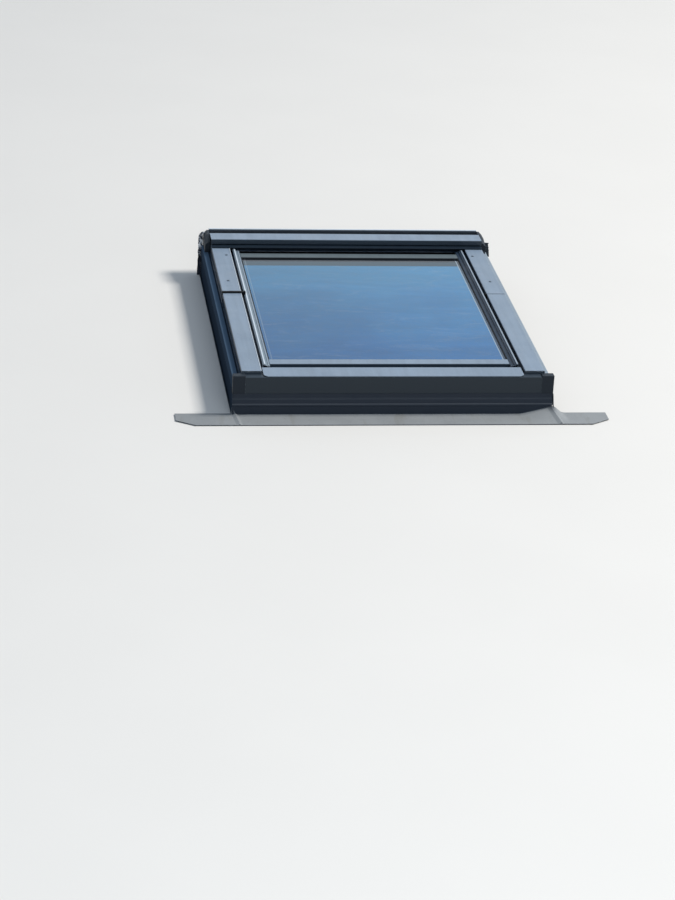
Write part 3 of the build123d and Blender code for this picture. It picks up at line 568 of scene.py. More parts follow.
class Finishes:
    """Every finish of the window, made once each."""

    def __init__(self) -> None:
        """Builds the materials."""
        made = (
            SheetPaint(),
            # Shaded copy of the cladding paint: its tops stay dark, painted shade, for the front
            # faces, the hood carrier and the right corner fold.
            SheetPaint("front_paint", srgb(42, 50, 57), srgb(54, 64, 74), index=1.3, shine=0.4),
            SheetPaint("flap_paint", srgb(82, 102, 122), srgb(92, 110, 128), index=1.3, shine=0.3),
            SheetPaint("shaded_cladding", srgb(56, 70, 86), srgb(92, 114, 136), index=1.3,
                       shine=0.0, shadows=((0, 0.3752, 2.1 * MM),)),
            SheetPaint("hood_paint", shadows=((1, 0.4925, 8.5 * MM),)),
            SheetPaint("sunlit_cladding", srgb(34, 42, 51), srgb(138, 154, 168), wear_and_highlight=0.9,
                       rim=1.8 * MM, patches=(0.15, 0.4)),
            SheetPaint("bead_paint", srgb(44, 56, 68), srgb(112, 129, 141), srgb(214, 224, 232),
                       wear_and_highlight=0.9, rim=1.6 * MM, patches=(0.1, 0.3)),
            SheetPaint("shaded_bead", srgb(26, 36, 48), srgb(40, 54, 70), srgb(158, 174, 188),
                       wear_and_highlight=0.85, rim=1.4 * MM, patches=(0.1, 0.3), shine=0.15),
            # Copy of the bead paint darkened by painted shade from the hood, for the top glazing
            # profile.
            SheetPaint("sheltered_bead", srgb(34, 44, 52), srgb(90, 102, 107), srgb(120, 134, 142)),
            # Light copies of the paint for the ribs, the hood's rear bead and the left covers'
            # rims: painted highlights, the fainter one for the shaded side.
            SheetPaint("highlight_rib", srgb(120, 134, 148), srgb(200, 212, 222), relief=0.1 * MM),
            SheetPaint("faint_highlight_rib", srgb(64, 76, 88), srgb(142, 156, 170), relief=0.1 * MM),
            SheetPaint("screw_paint", srgb(46, 56, 66), srgb(112, 127, 143)),
            FlashingSheet(),
            FlashingSheet("shaded_flashing", srgb(46, 57, 70), srgb(112, 120, 128),
                          srgb(92, 98, 104), srgb(84, 96, 108), 0.020, shine=0.0, wear_and_highlight=0.3),
            # Shaded copy for the left apron corner: bluer dark paint without shine, painted shade.
            FlashingSheet("corner_flashing", srgb(46, 57, 70), shine=0.0),
            CrumpledSheet(),
            Timber("pine_across", Direction.ACROSS),
            Timber("pine_upslope", Direction.UPSLOPE),
            Rubber(),
            # Near-black navy for the strips in the hood's rear channel and under its front: painted
            # shade.
            Plastic("hood_shade_rubber", srgb(22, 32, 42), srgb(27, 38, 49), 0.1),
            Plastic("cap_plastic", srgb(36, 42, 49), srgb(46, 54, 63), 0.12),
            Plastic("fitting_plastic", srgb(176, 178, 178), srgb(150, 150, 146)),
            # Colours of the painted sky reflection at each pane's low and high end.
            CoatedGlass("outer_glass", srgb(34, 112, 172), srgb(68, 146, 192), 0.70),
            CoatedGlass("inner_glass", srgb(150, 178, 196), srgb(160, 186, 204), 0.10),
            Metal("spacer_foil", srgb(176, 182, 178), srgb(138, 144, 140), (0.34, 0.46)),
            Metal("zinc_steel", srgb(196, 200, 204), srgb(138, 144, 150), (0.30, 0.46), 150.0),
            Metal("anodised_bar", srgb(214, 215, 216), srgb(176, 178, 180), (0.24, 0.36),
                  brushed=True),
            Metal("plated_fitting", srgb(206, 204, 198), srgb(160, 158, 152), (0.20, 0.32)),
        )
        self.materials = {finish.name: finish.build() for finish in made}

    def __getitem__(self, name: str) -> Material:
        """Returns the material of that name."""
        return self.materials[name]


def both(*stems: str) -> tuple[str, ...]:
    """The left and the right piece of each stem."""
    return tuple(f"{stem}_{side}" for stem in stems for side in ("left", "right"))


NODE_FINISHES: dict[str, tuple[str, ...]] = {
    "cladding_paint": (*both("upper_cover", "lower_cover"), "sash_bottom_cover",
                       "glazing_profile_bottom"),
    "hood_paint": ("hood",),
    "bead_paint": ("glazing_profile_left",),
    "shaded_bead": ("glazing_profile_right",),
    "sheltered_bead": ("glazing_profile_top",),
    "front_paint": ("front_cover", "hood_carrier"),
    "shaded_cladding": ("side_cladding_left",),
    "sunlit_cladding": ("side_cladding_right",),
    "flashing_sheet": ("apron", "apron_corner_right", "side_flashing_right", "top_flashing"),
    "corner_flashing": ("apron_corner_left",),
    "shaded_flashing": ("side_flashing_left",),
    "pine_across": ("frame_bottom_rail", "frame_top_rail", "sash_bottom_rail", "sash_top_rail"),
    "pine_upslope": both("frame_stile", "sash_stile"),
    "seal_rubber": ("frame_gaskets", "cover_seals", "glazing_gasket"),
    "cap_plastic": both("front_cap", "hood_cap"),
    "outer_glass": ("outer_pane",),
    "inner_glass": ("inner_pane",),
    "spacer_foil": ("glazing_spacer",),
    "zinc_steel": (*both("hinge_housing", "hinge_arm", "mounting_bracket_lower",
                         "mounting_bracket_upper"), "striker_plate"),
    "anodised_bar": ("control_bar",),
    "flap_paint": ("vent_flap",),
    "plated_fitting": ("bolt_bush", "bolt_case", "barrel_bolt", *both("fitting_plate")),
    "fitting_plastic": ("lock_case",),
}
FINISH_OF = {node: finish for finish, nodes in NODE_FINISHES.items() for node in nodes}


class Bench:
    """Modelling moves that several sub-assemblies share."""

    @staticmethod
    def clear() -> None:
        """Leaves nothing selected and no object in edit mode."""
        if bpy.context.object and bpy.context.object.mode != "OBJECT":
            bpy.ops.object.mode_set(mode="OBJECT")
        bpy.ops.object.select_all(action="DESELECT")

    @staticmethod
    def take(piece: Object) -> None:
        """Selects one object alone and makes it active.

        Args:
            piece: The object.
        """
        Bench.clear()
        piece.select_set(True)
        bpy.context.view_layer.objects.active = piece

    @staticmethod
    def settle(piece: Object) -> None:
        """Puts a piece's place into its mesh, so that its object sits unturned at the origin."""
        Bench.take(piece)
        bpy.ops.object.transform_apply(location=True, rotation=True, scale=True)

    @staticmethod
    def block(low: Point, high: Point) -> Object:
        """Adds a block, to be shaped.

        Args:
            low: Its lowest corner.
            high: Its highest corner.

        Returns:
            The block.
        """
        Bench.clear()
        bpy.ops.mesh.primitive_cube_add(size=1)
        block = bpy.context.object
        block.scale = [end - start for start, end in zip(low, high)]
        block.location = [(start + end) / 2 for start, end in zip(low, high)]
        Bench.settle(block)
        return block

    @staticmethod
    def choose(piece: Object, wanted: Callable[[MeshPolygon], bool]) -> None:
        """Selects the faces of a piece that a test accepts.

        Args:
            piece: The mesh object, in object mode.
            wanted: The test of one face.
        """
        mesh = piece.data
        for item in (*mesh.vertices, *mesh.edges):
            item.select = False
        for face in mesh.polygons:
            face.select = wanted(face)

    @staticmethod
    def linked(name: str, data: bpy.types.ID) -> Object:
        """Makes an object of data and puts it in the scene.

        Args:
            name: The object's name.
            data: Its mesh, lamp or camera.

        Returns:
            The object.
        """
        made = bpy.data.objects.new(name, data)
        bpy.context.scene.collection.objects.link(made)
        return made

    @staticmethod
    def copy_of(node: str, name: str) -> Object:
        """A merged copy of a CAD node's mesh, to be changed and shown in its place.

        Args:
            node: The CAD node.
            name: The new piece's name.

        Returns:
            The new piece.
        """
        piece = Bench.linked(name, frame["nodes"][node].data.copy())
        Bench.take(piece)
        bpy.ops.object.mode_set(mode="EDIT")
        bpy.ops.mesh.select_all(action="SELECT")
        bpy.ops.mesh.remove_doubles(threshold=0.01 * MM)
        bpy.ops.mesh.tris_convert_to_quads()
        bpy.ops.object.mode_set(mode="OBJECT")
        return piece

    @staticmethod
    def slice(piece: Object, axis: int, places: Iterable[float]) -> None:
        """Cuts new edge rows through a piece, square to an axis.

        Args:
            piece: The mesh object.
            axis: 0, 1 or 2 for X, Y or Z.
            places: Where along the axis.
        """
        Bench.take(piece)
        bpy.ops.object.mode_set(mode="EDIT")
        for place in places:
            point, way = [0.0, 0.0, 0.0], [0.0, 0.0, 0.0]
            point[axis], way[axis] = place, 1.0
            bpy.ops.mesh.select_all(action="SELECT")
            bpy.ops.mesh.bisect(plane_co=point, plane_no=way)
        bpy.ops.object.mode_set(mode="OBJECT")

    @staticmethod
    def modify(piece: Object, kind: str, **settings: object) -> None:
        """Adds a modifier to a piece and applies it.

        Args:
            piece: The piece.
            kind: The modifier's type.
            **settings: Attributes of the modifier.
        """
        modifier = piece.modifiers.new("step", kind)
        for key, value in settings.items():
            setattr(modifier, key, value)
        Bench.take(piece)
        bpy.ops.object.modifier_apply(modifier=modifier.name)

    @staticmethod
    def smooth(piece: Object, degrees: float) -> None:
        """Shades the curved faces of a piece as smooth.

        Args:
            piece: The piece.
            degrees: The bend from which an edge stays sharp.
        """
        Bench.take(piece)
        bpy.ops.object.shade_smooth_by_angle(angle=math.radians(degrees))
        Bench.modify(piece, "WEIGHTED_NORMAL", keep_sharp=True)

    @staticmethod
    def dress(piece: Object, material: Material) -> None:
        """Gives a piece one material."""
        piece.data.materials.clear()
        piece.data.materials.append(material)

    @staticmethod
    def finish(piece: Object, name: str, body: str, slot: str, material: Material) -> None:
        """Names and dresses a piece and lets it ride on its body.

        Args:
            piece: The piece.
            name: Its name.
            body: The body that it rides on.
            slot: The record's material slot; not used.
            material: Its finish.
        """
        piece.name = piece.data.name = name
        Bench.dress(piece, material)
        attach(piece, body)
        LOG.info("%s: %d faces on %s", name, len(piece.data.polygons), body)


@dataclass(frozen=True)
class ScrewSet:
    """Screws of one size, given by the seats on the right and mirrored to the left."""

    name: str
    body: str
    slot: str
    finish: str
    size: float
    way: tuple[int, int, int]
    seats: tuple[Point, ...]


@dataclass
class Screws:
    """Screw heads, all of one pattern."""

    finishes: Finishes
    head_radius: float = 4.2 * MM
    head_height: float = 1.7 * MM
    dome: float = 0.35 * MM
    dome_share: float = 0.95
    edge_radius: float = 0.35 * MM
    recess_radius: float = 1.9 * MM
    recess_depth: float = 1.1 * MM
    recess_rim: float = 0.15 * MM
    recess_taper: float = 0.5 * MM
    centre_reach: float = 0.3 * MM
    lobes: int = 6
    lobe_share: float = 0.13
    first_turn: float = 0.4
    next_turn: float = 1.3
    sharp_from: float = 40.0
    sets: tuple[ScrewSet, ...] = (
        ScrewSet("cover_screws", "frame", "cladding", "screw_paint", 0.85, (0, 0, 1),
                 ((0.348, 0.147, 0.136), (0.335, 0.344, 0.136))),
        ScrewSet("bracket_screws", "frame", "zinc_steel", "zinc_steel", 1.15, (1, 0, 0),
                 tuple((0.3905, y, -0.017) for y in (-0.395, -0.365, 0.365, 0.395))),
        ScrewSet("housing_screws", "frame", "zinc_steel", "plated_fitting", 1.0, (-1, 0, 0),
                 ((0.347, -0.040, 0.078), (0.347, 0.094, 0.078))),
        ScrewSet("striker_screws", "frame", "fitting_metal", "plated_fitting", 0.9, (0, -1, 0),
                 ((0.038, 0.444, 0.069),)),
        ScrewSet("fitting_screws", "sash", "fitting_metal", "plated_fitting", 0.85, (0, 1, 0),
                 ((0.2893, 0.404, 0.0665), (0.2893, 0.404, 0.1045))),
        ScrewSet("lock_screws", "sash", "fitting_metal", "plated_fitting", 0.8, (0, 0, -1),
                 ((0.0265, 0.418, 0.060),)))

    def pattern(self) -> Object:
        """Models one domed head with a lobed recess, on the XY plane.

        Returns:
            The pattern.
        """
        Bench.clear()
        bpy.ops.mesh.primitive_cylinder_add(vertices=24, radius=self.head_radius,
                                            depth=self.head_height,
                                            location=(0, 0, self.head_height / 2))
        head = bpy.context.object
        Bench.settle(head)
        Bench.choose(head, lambda face: face.normal.z > UPWARD)
        bpy.ops.object.mode_set(mode="EDIT")
        bpy.ops.mesh.inset(thickness=self.head_radius - self.recess_radius)
        bpy.ops.mesh.inset(thickness=self.recess_rim)
        bpy.ops.object.mode_set(mode="OBJECT")
        for vertex in head.data.vertices:
            reach = vertex.co.xy.length
            if vertex.co.z > self.head_height / 2 and reach < self.head_radius * self.dome_share:
                vertex.co.z += self.dome
            if reach < self.recess_radius:
                turn = math.atan2(vertex.co.y, vertex.co.x)
                vertex.co.xy *= 1 + self.lobe_share * math.cos(self.lobes * turn)
        Bench.choose(head, lambda face: face.normal.z > UPWARD
                     and face.center.xy.length < self.centre_reach)
        bpy.ops.object.mode_set(mode="EDIT")
        bpy.ops.mesh.extrude_region_move(
            TRANSFORM_OT_translate={"value": (0, 0, -self.recess_depth)})
        bpy.ops.mesh.inset(thickness=self.recess_taper)
        bpy.ops.object.mode_set(mode="OBJECT")
        Bench.modify(head, "BEVEL", width=self.edge_radius, segments=2, limit_method="ANGLE",
                     angle_limit=math.radians(self.sharp_from))
        Bench.smooth(head, self.sharp_from)
        return head

    def build(self) -> None:
        """Sets a copy on every seat, each turned a little further, and joins the heads of a set."""
        pattern = self.pattern()
        for screws in self.sets:
            heads = []
            for side, seat in ((side, seat) for side in (-1, 1) for seat in screws.seats):
                place = Matrix.Translation((side * seat[0], seat[1], seat[2]))
                way = Vector((side * screws.way[0], screws.way[1], screws.way[2]))
                turn = Vector((0, 0, 1)).rotation_difference(way).to_matrix().to_4x4()
                spin = Matrix.Rotation(self.first_turn + self.next_turn * len(heads), 4, "Z")
                heads.append(Bench.linked(screws.name, pattern.data.copy()))
                heads[-1].data.transform(place @ turn @ spin @ Matrix.Scale(screws.size, 4))
            Bench.take(heads[0])
            for head in heads:
                head.select_set(True)
            bpy.ops.object.join()
            Bench.finish(heads[0], screws.name, screws.body, screws.slot,
                         self.finishes[screws.finish])
        bpy.data.objects.remove(pattern)


@dataclass
class ApronEnds:
    """The apron and its corners, lifted and skewed as they were dressed over the tiles."""

    finishes: Finishes
    ridge_x: float = 0.384
    inner_x: float = 0.312
    outer_x: float = 0.420
    face_y: float = -0.491
    front_y: float = -0.552
    lift: float = 19.5 * MM
    crown: float = 0.4
    peak_shift: float = 7.0 * MM
    seam_reach: float = 0.075
    seam_shift_right: Span = (4.0 * MM, 19.0 * MM)
    seam_shift_left: Span = (0.0, 6.0 * MM)
    ripple_height: float = 0.9 * MM
    ripple_waves: Span = (14.0, 22.0)
    front_hem: float = 12.0 * MM
    top: float = 0.0325
    row_step: float = 8.0 * MM
    rows_each_way: int = 70
    flat_middle: float = 0.30
    front_rows: tuple[float, ...] = (-0.544, -0.533, -0.522, -0.511, -0.501)
    sharp_from: float = 32.0

    def rise(self, x: float, y: float) -> float:
        """How far the right corner stands above its tray.

        Args:
            x: Across.
            y: Upslope.

        Returns:
            The lift in metres.
        """
        peak = self.ridge_x + self.peak_shift
        end = self.inner_x if x < peak else self.outer_x
        share = held((x - end) / (peak - end))
        rounded = share * share * (3 - 2 * share)
        share = rounded * self.crown + share * (1 - self.crown)
        return self.lift * share * held((y - self.front_y) / (self.face_y - self.front_y))

    def skew(self, x: float, y: float) -> float:
        """How far a seam is pushed sideways.

        Args:
            x: Across.
            y: Upslope.

        Returns:
            The shift along X in metres.
        """
        run = held((self.face_y - y) / (self.face_y - self.front_y))
        reach = max(0.0, 1 - abs(abs(x) - self.ridge_x) / self.seam_reach)
        start, more = self.seam_shift_right if x > 0 else self.seam_shift_left
        return reach * (start + more * run)

    def ripple(self, point: Vector) -> float:
        """The small unevenness of a sheet that was dressed by hand."""
        across, up = self.ripple_waves
        return self.ripple_height * noise.noise(Vector((point.x * across, point.y * up, 3.1)))

    def build(self) -> None:
        """Makes the three pieces and hides the nodes that they stand for."""
        for node, finish in (("apron", "flashing_sheet"), ("apron_corner_left", "corner_flashing"),
                             ("apron_corner_right", "flashing_sheet")):
            piece = Bench.copy_of(node, node + "_dressed")
            low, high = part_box(node)
            rows = ((k, k * self.row_step)
                    for k in range(-self.rows_each_way, self.rows_each_way + 1))
            # In the middle, where the sheet lies flat, every fourth row is enough.
            Bench.slice(piece, 0, [x for k, x in rows if low.x + 2 * MM < x < high.x - 2 * MM
                                   and (abs(x) > self.flat_middle or k % 4 == 0)])
            Bench.slice(piece, 1, [y for y in self.front_rows if low.y < y < high.y])
            for vertex in piece.data.vertices:
                if vertex.co.z < self.top:
                    x, y = vertex.co.x, vertex.co.y
                    waves = held((y - self.front_y) / self.front_hem) * abs(self.ripple(vertex.co))
                    vertex.co.z += self.rise(x, y) + waves * (y < self.face_y)
                    vertex.co.x += self.skew(x, y)
            Bench.smooth(piece, self.sharp_from)
            Bench.finish(piece, node + "_dressed", "frame", "flashing", self.finishes[finish])
            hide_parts(node)


@dataclass
class Seals:
    """The rubber round the pane, and a dark strip that stands proud in the joint of the left side
    covers only.
    """

    finishes: Finishes
    pane: tuple[float, float, float, float] = (-0.2959, 0.2959, -0.3799, 0.3499)
    pane_level: float = 0.1260
    seen_width: float = 2.4 * MM
    lip: float = 0.8 * MM
    lip_edge: float = 0.25 * MM
    strip: tuple[Point, Point] = ((-0.3722, 0.0530, 0.1300), (-0.3110, 0.0612, 0.1405))
    strip_edge: float = 1.3 * MM
    strip_cuts: int = 12
    top_wave: float = 0.35 * MM
    top_waves: float = 5.0
    side_wave: float = 0.25 * MM
    side_waves: float = 3.0
    slant: float = 0.5 * MM
    end_share: float = 0.93
    end_spread: float = 0.25
    end_lift: float = 0.3 * MM
    sharp_from: float = 50.0

    def pane_seal(self) -> None:
        """Lays the flat lip of the glazing seal round the pane's edge."""
        left, right, front, back = self.pane
        Bench.clear()
        bpy.ops.mesh.primitive_plane_add(
            size=1, location=((left + right) / 2, (front + back) / 2, self.pane_level))
        seal = bpy.context.object
        seal.scale = (right - left, back - front, 1)
        Bench.settle(seal)
        bpy.ops.object.mode_set(mode="EDIT")
        bpy.ops.mesh.select_all(action="SELECT")
        bpy.ops.mesh.inset(thickness=self.seen_width)
        bpy.ops.mesh.delete(type="FACE")
        bpy.ops.object.mode_set(mode="OBJECT")
        Bench.modify(seal, "SOLIDIFY", thickness=self.lip, offset=1.0, use_even_offset=True)
        Bench.modify(seal, "BEVEL", width=self.lip_edge, segments=2, limit_method="ANGLE")
        Bench.finish(seal, "pane_edge_seal", "sash", "rubber", self.finishes["seal_rubber"])

    def joint_strip(self) -> None:
        """Models the strip that stands proud in the joint of the left side covers."""
        low, high = self.strip
        left, length, middle = low[0], high[0] - low[0], (low[1] + high[1]) / 2
        strip = Bench.block(low, high)
        cuts = range(1, self.strip_cuts)
        Bench.slice(strip, 0, [left + cut * length / self.strip_cuts for cut in cuts])
        for vertex in strip.data.vertices:
            share = (vertex.co.x - left) / length
            if vertex.co.z > high[2] - 1 * MM:
                wave = noise.noise(Vector((share * self.top_waves, 0.3, 0.7)))
                vertex.co.z += self.top_wave * wave
            wave = self.side_wave * noise.noise(Vector((share * self.side_waves, 2.0, 0)))
            vertex.co.y += self.slant * (share - 0.5) + wave
            if share > self.end_share:
                vertex.co.y += (vertex.co.y - middle) * self.end_spread
                vertex.co.z += self.end_lift
        Bench.modify(strip, "BEVEL", width=self.strip_edge, segments=3, limit_method="ANGLE")
        Bench.smooth(strip, self.sharp_from)
        # The strip is as dark as the seals, in the left joint only, where that joint looks dark.
        Bench.finish(strip, "joint_strip_left", "frame", "rubber", self.finishes["seal_rubber"])

    def build(self) -> None:
        """Makes the rubber pieces."""
        self.pane_seal()
        self.joint_strip()


@dataclass
class HandFold:
    """A corner of the flashing that was folded up by hand beside one end of the hood."""

    finishes: Finishes
    name: str = "corner_fold_left"
    side: int = -1
    inner: float = 0.3872
    width: float = 0.0138
    y: float = 0.4900
    bottom: float = 0.0172
    top: float = 0.1510
    depth: float = 6.5 * MM
    sheet: float = 0.8 * MM
    cap_chamfer: float = 0.1445
    finish: str = "crumpled_sheet"
    zigzags: float = 5.7
    slant: float = 0.9
    rough_share: float = 0.6
    rough_waves: Span = (2.3, 9.1)
    sway: float = 2.4 * MM
    sway_waves: Span = (1.1, 7.3)
    hold_rise: float = 2.2
    taper: float = 0.2
    sharp_from: float = 28.0

    def crease(self, x: float, z: float) -> Vector:
        """How far a point of the sheet is pushed out of its plane.

        Args:
            x: Share across the fold, 0 to 1.
            z: Share up the fold, 0 to 1.

        Returns:
            The push in metres.
        """
        rough, sway = (noise.noise(Vector((x * waves[0], z * waves[1], start)))
                       for waves, start in ((self.rough_waves, 0.4), (self.sway_waves, 4.2)))
        zig = abs((z * self.zigzags + x * self.slant) % 1.0 - 0.5) * 2
        along = self.depth * (zig - 0.5 + self.rough_share * rough)
        across = self.sway * sway * min(1.0, 2 - 2 * x)
        return Vector((across, along, 0.0)) * min(1.0, z * self.hold_rise) ** 2

    def build(self) -> None:
        """Models the fold from a creased sheet that leans in over the hood cap's chamfer."""
        Bench.clear()
        bpy.ops.mesh.primitive_grid_add(x_subdivisions=7, y_subdivisions=34, size=1,
                                        rotation=(math.radians(90), 0, 0))
        fold = bpy.context.object
        Bench.settle(fold)
        for vertex in fold.data.vertices:
            x, z = vertex.co.x + 0.5, vertex.co.z + 0.5
            height = self.bottom + z * (self.top - self.bottom)
            inner = self.inner - max(0.0, height - self.cap_chamfer)
            out = inner + (1 - x) * self.width * (1.0 - self.taper * z)
            vertex.co = Vector((self.side * out, self.y, height)) + self.crease(x, z)
            vertex.co.x = self.side * max(self.side * vertex.co.x, inner)
        Bench.modify(fold, "SOLIDIFY", thickness=self.sheet, offset=1.0, use_even_offset=True)
        Bench.modify(fold, "SUBSURF", levels=1, render_levels=1)
        Bench.smooth(fold, self.sharp_from)
        Bench.finish(fold, self.name, "frame", "flashing", self.finishes[self.finish])


@dataclass(frozen=True)
class Rod:
    """A long bead: its ends along X and Y, its middle's height and half its thickness."""

    name: str
    x: Span
    y: Span
    z: float
    half: float
    body: str
    finish: str


@dataclass
class Trims:
    """Thin trims: the glazing profiles' ribs, the hood's bead and dark strips, the left covers'
    rims; the light ones are painted highlights and the dark strips painted shade.
    """

    finishes: Finishes
    roundness: float = 0.92
    sharp_from: float = 50.0
    cuts: int = 8
    ribs: tuple[tuple[float, float, float, str], ...] = (
        # Light ribs are painted highlights on the sunlit side; the darker ones sit on the shaded
        # side.
        (-0.3097, 0.1330, 2.3 * MM, "highlight_rib"), (-0.2996, 0.1286, 1.6 * MM, "faint_highlight_rib"),
        (0.3128, 0.1327, 2.2 * MM, "faint_highlight_rib"), (0.3062, 0.1314, 1.3 * MM, "shaded_bead"))
    rib_ends: Span = (-0.4235, 0.4000)
    rib_half: float = 1.1 * MM
    rods: tuple[Rod, ...] = (
        # Light bead at the hood's rear: painted highlight.
        Rod("hood_rear_bead", (-0.3712, 0.3712), (0.4988, 0.5053), 0.1543, 1.4 * MM, "frame",
            "highlight_rib"),
        # Near-black strips in the hood's rear channel and under its front edge: painted shade.
        Rod("hood_rear_web", (-0.3712, 0.3712), (0.4895, 0.5008), 0.1533, 1.2 * MM, "frame",
            "hood_shade_rubber"),
        Rod("hood_front_dark_strip", (-0.3706, 0.3706), (0.3960, 0.4180), 0.1380, 1.4 * MM, "frame",
            "hood_shade_rubber"),
        # Light rims along the left covers' inner edges: painted highlights.
        Rod("cover_rim_upper", (-0.3243, -0.3222), (0.0580, 0.4060), 0.1362, 0.6 * MM, "frame",
            "highlight_rib"),
        Rod("cover_rim_lower", (-0.3243, -0.3222), (-0.4730, 0.0530), 0.1362, 0.6 * MM, "sash",
            "highlight_rib"))

    def model(self, rod: Rod) -> None:
        """Models a bead with a rounded section and rounded ends.

        Args:
            rod: The bead.
        """
        (left, right), (front, back) = rod.x, rod.y
        bead = Bench.block((left, front, rod.z - rod.half), (right, back, rod.z + rod.half))
        Bench.modify(bead, "BEVEL", width=rod.half * self.roundness, segments=4)
        axis, start, run = ((0, left, right - left) if right - left > back - front
                            else (1, front, back - front))
        Bench.slice(bead, axis, [start + run * cut / self.cuts for cut in range(1, self.cuts)])
        Bench.smooth(bead, self.sharp_from)
        slot = "rubber" if rod.finish == "hood_shade_rubber" else "cladding"
        Bench.finish(bead, rod.name, rod.body, slot, self.finishes[rod.finish])

    def build(self) -> None:
        """Models the ribs and the other beads."""
        for number, (x, z, reach, finish) in enumerate(self.ribs, 1):
            self.model(Rod(f"profile_rib_{number}", (x - reach, x + reach), self.rib_ends, z,
                           self.rib_half, "sash", finish))
        for rod in self.rods:
            self.model(rod)


@dataclass
class Rounds:
    """Merged, smoothly shaded copies of the turned and cast pieces, by their material slots."""

    finishes: Finishes
    sharp_from: float = 32.0
    slots: tuple[tuple[str, tuple[str, ...]], ...] = (
        ("bar_metal", ("control_bar",)),
        ("fitting_metal", ("barrel_bolt", "bolt_bush", "bolt_case", *both("fitting_plate"))),
        ("zinc_steel", both("hinge_housing", "hinge_arm")),
        ("fitting_plastic", ("lock_case",)),
        ("bar_metal", ("vent_flap",)))

    def build(self) -> None:
        """Makes the copies, each shaded smooth up to its sharp edges."""
        for slot, node in ((slot, node) for slot, nodes in self.slots for node in nodes):
            piece = Bench.copy_of(node, node + "_smooth")
            Bench.smooth(piece, self.sharp_from)
            Bench.finish(piece, node + "_smooth", frame["nodes"][node]["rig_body"], slot,
                         self.finishes[FINISH_OF[node]])
            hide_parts(node)


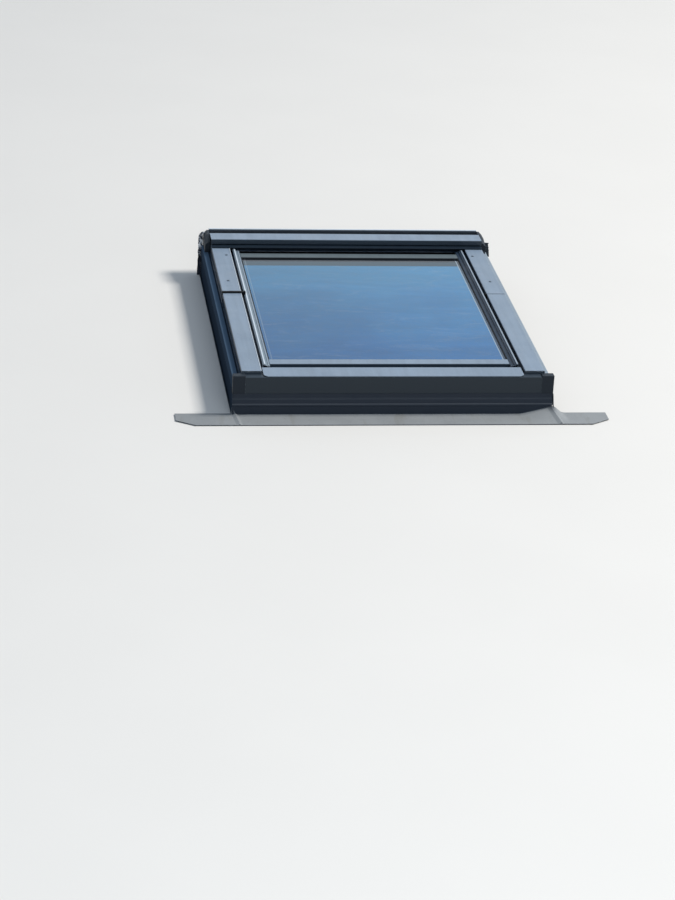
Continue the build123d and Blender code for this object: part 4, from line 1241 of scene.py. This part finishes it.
@dataclass
class Studio:
    """Floor with the roof opening, the dark room below it, soft lamps and the camera."""

    level: float = 0.0260
    reach: float = 14.0
    opening: tuple[float, float, float, float] = (-0.3935, 0.3935, -0.4935, 0.489)
    room_depth: float = 1.25
    room_spread: float = 2.2
    floor_colour: Colour = srgb(228, 226, 221)
    room_colour: Colour = srgb(34, 38, 44)
    mottle: float = 0.985
    lamps: tuple[tuple[str, Point, float, float, Colour], ...] = (
        ("key", (9.0, -0.5, 11.1), 3.3, 2000.0, (1.0, 0.965, 0.925)),
        ("fill", (0.3, -5.2, 2.4), 2.0, 45.0, (0.86, 0.93, 1.0)))
    aim: Point = (0.0, 0.0, 0.05)
    soft_world: tuple[Colour, float] = ((0.74, 0.89, 1.10), 0.36)
    seen_world: tuple[Colour, float] = ((0.90, 0.955, 1.0), 1.0)
    eye: Point = (-0.9936, -6.2603, 2.5122)
    eye_axes: tuple[Point, Point, Point] = (
        (0.99079, -0.12550, 0.05087), (0.00469, 0.40726, 0.91330), (-0.13534, -0.90465, 0.40410))
    lens: float = 104.83

    def set_up(self, piece: Object, name: str, colour: Colour, rough: float) -> None:
        """Names a piece of the stage and dresses it in a plain matt finish.

        Args:
            piece: The piece.
            name: Its name.
            colour: Its colour.
            rough: Its roughness.
        """
        g = Graph(name + "_finish")
        darker = tuple(channel * self.mottle for channel in colour)
        tone = g.blend(g.span(g.noise(2.0, 3.0, 0.5), 0.3, 0.7), darker, colour)
        piece.name = name
        Bench.dress(piece, g.set(Base_Color=tone, Roughness=rough))

    def floor(self) -> None:
        """Lays the floor round the opening."""
        Bench.clear()
        bpy.ops.mesh.primitive_plane_add(size=2 * self.reach, location=(0, 0, self.level))
        floor = bpy.context.object
        Bench.settle(floor)
        left, right, front, back = self.opening
        Bench.slice(floor, 0, (left, right))
        Bench.slice(floor, 1, (front, back))
        Bench.choose(floor, lambda face: left < face.center.x < right
                     and front < face.center.y < back)
        bpy.ops.object.mode_set(mode="EDIT")
        bpy.ops.mesh.delete(type="FACE")
        bpy.ops.object.mode_set(mode="OBJECT")
        self.set_up(floor, "floor", self.floor_colour, 0.8)

    def room(self) -> None:
        """Builds the dark room under the opening, wider below, with its faces turned inwards."""
        left, right, front, back = self.opening
        top = self.level - 1 * MM
        room = Bench.block((left, front, top - self.room_depth), (right, back, top))
        for vertex in room.data.vertices:
            if vertex.co.z < top - self.room_depth / 2:
                vertex.co.xy *= self.room_spread
        Bench.choose(room, lambda face: face.normal.z > UPWARD)
        bpy.ops.object.mode_set(mode="EDIT")
        bpy.ops.mesh.delete(type="FACE")
        bpy.ops.mesh.select_all(action="SELECT")
        bpy.ops.mesh.flip_normals()
        bpy.ops.object.mode_set(mode="OBJECT")
        self.set_up(room, "room", self.room_colour, 0.9)

    def light(self) -> None:
        """Hangs the soft square lamps, of a size and a power in watts, all aimed at the window."""
        for name, place, size, power, colour in self.lamps:
            data = bpy.data.lights.new(name, "AREA")
            data.size, data.energy, data.color = size, power, colour
            lamp = Bench.linked(name, data)
            lamp.location = place
            way = Vector(self.aim) - Vector(place)
            lamp.rotation_euler = way.to_track_quat("-Z", "Y").to_euler()

    def world(self) -> None:
        """A soft world that looks white to the camera, to metal and to glass."""
        world = bpy.data.worlds.new("studio")
        tree = Tree(world)
        path = tree.add("LightPath")
        seen = path.outputs["Is Camera Ray"]
        for ray in ("Is Glossy Ray", "Is Transmission Ray"):
            seen = tree.add("Math", {0: seen, 1: path.outputs[ray]}, operation="MAXIMUM").outputs[0]
        soft, white = (tree.add("Background", {"Color": colour, "Strength": strength}).outputs[0]
                       for colour, strength in (self.soft_world, self.seen_world))
        mix = tree.add("MixShader", {0: seen, 1: soft, 2: white})
        tree.add("OutputWorld", {0: mix.outputs[0]})
        bpy.context.scene.world = world

    def camera(self) -> None:
        """Sets the camera at the photograph's viewing angle."""
        data = bpy.data.cameras.new("camera")
        data.sensor_fit, data.sensor_width, data.lens = "AUTO", 36.0, self.lens
        data.clip_end = 100.0
        camera = Bench.linked("camera", data)
        turn = Matrix(self.eye_axes).transposed().to_4x4()
        camera.matrix_world = Matrix.Translation(self.eye) @ turn
        bpy.context.scene.camera = camera

    def build(self) -> None:
        """Sets the whole stage."""
        self.floor()
        self.room()
        self.world()
        self.light()
        self.camera()
        bpy.context.scene.view_settings.view_transform = "Standard"


def dress_nodes(finishes: Finishes) -> None:
    """Gives every CAD node its finish.

    Args:
        finishes: The window's finishes.
    """
    for node, finish in FINISH_OF.items():
        piece = frame["nodes"][node]
        if not piece.material_slots:
            piece.data.materials.append(None)
        for slot in piece.material_slots:
            slot.material = finishes[finish]
        LOG.info("%s: %s", node, finish)
    missing = set(frame["nodes"]) - set(FINISH_OF)
    if missing:
        raise ValueError(f"no finish for {sorted(missing)}")


def main() -> None:
    """Builds the sub-assemblies, the finishes and the stage in order."""
    logging.basicConfig(level=logging.INFO, format="%(name)s %(message)s")
    finishes = Finishes()
    dress_nodes(finishes)
    Screws(finishes).build()
    ApronEnds(finishes).build()
    Seals(finishes).build()
    HandFold(finishes).build()
    HandFold(finishes, "corner_fold_right", 1, width=0.0236, y=0.4895, bottom=0.0825, top=0.1240,
             depth=3.0 * MM, finish="front_paint").build()
    Trims(finishes).build()
    Rounds(finishes).build()
    Studio().build()
    Bench.clear()


if __name__ == "__main__":
    main()
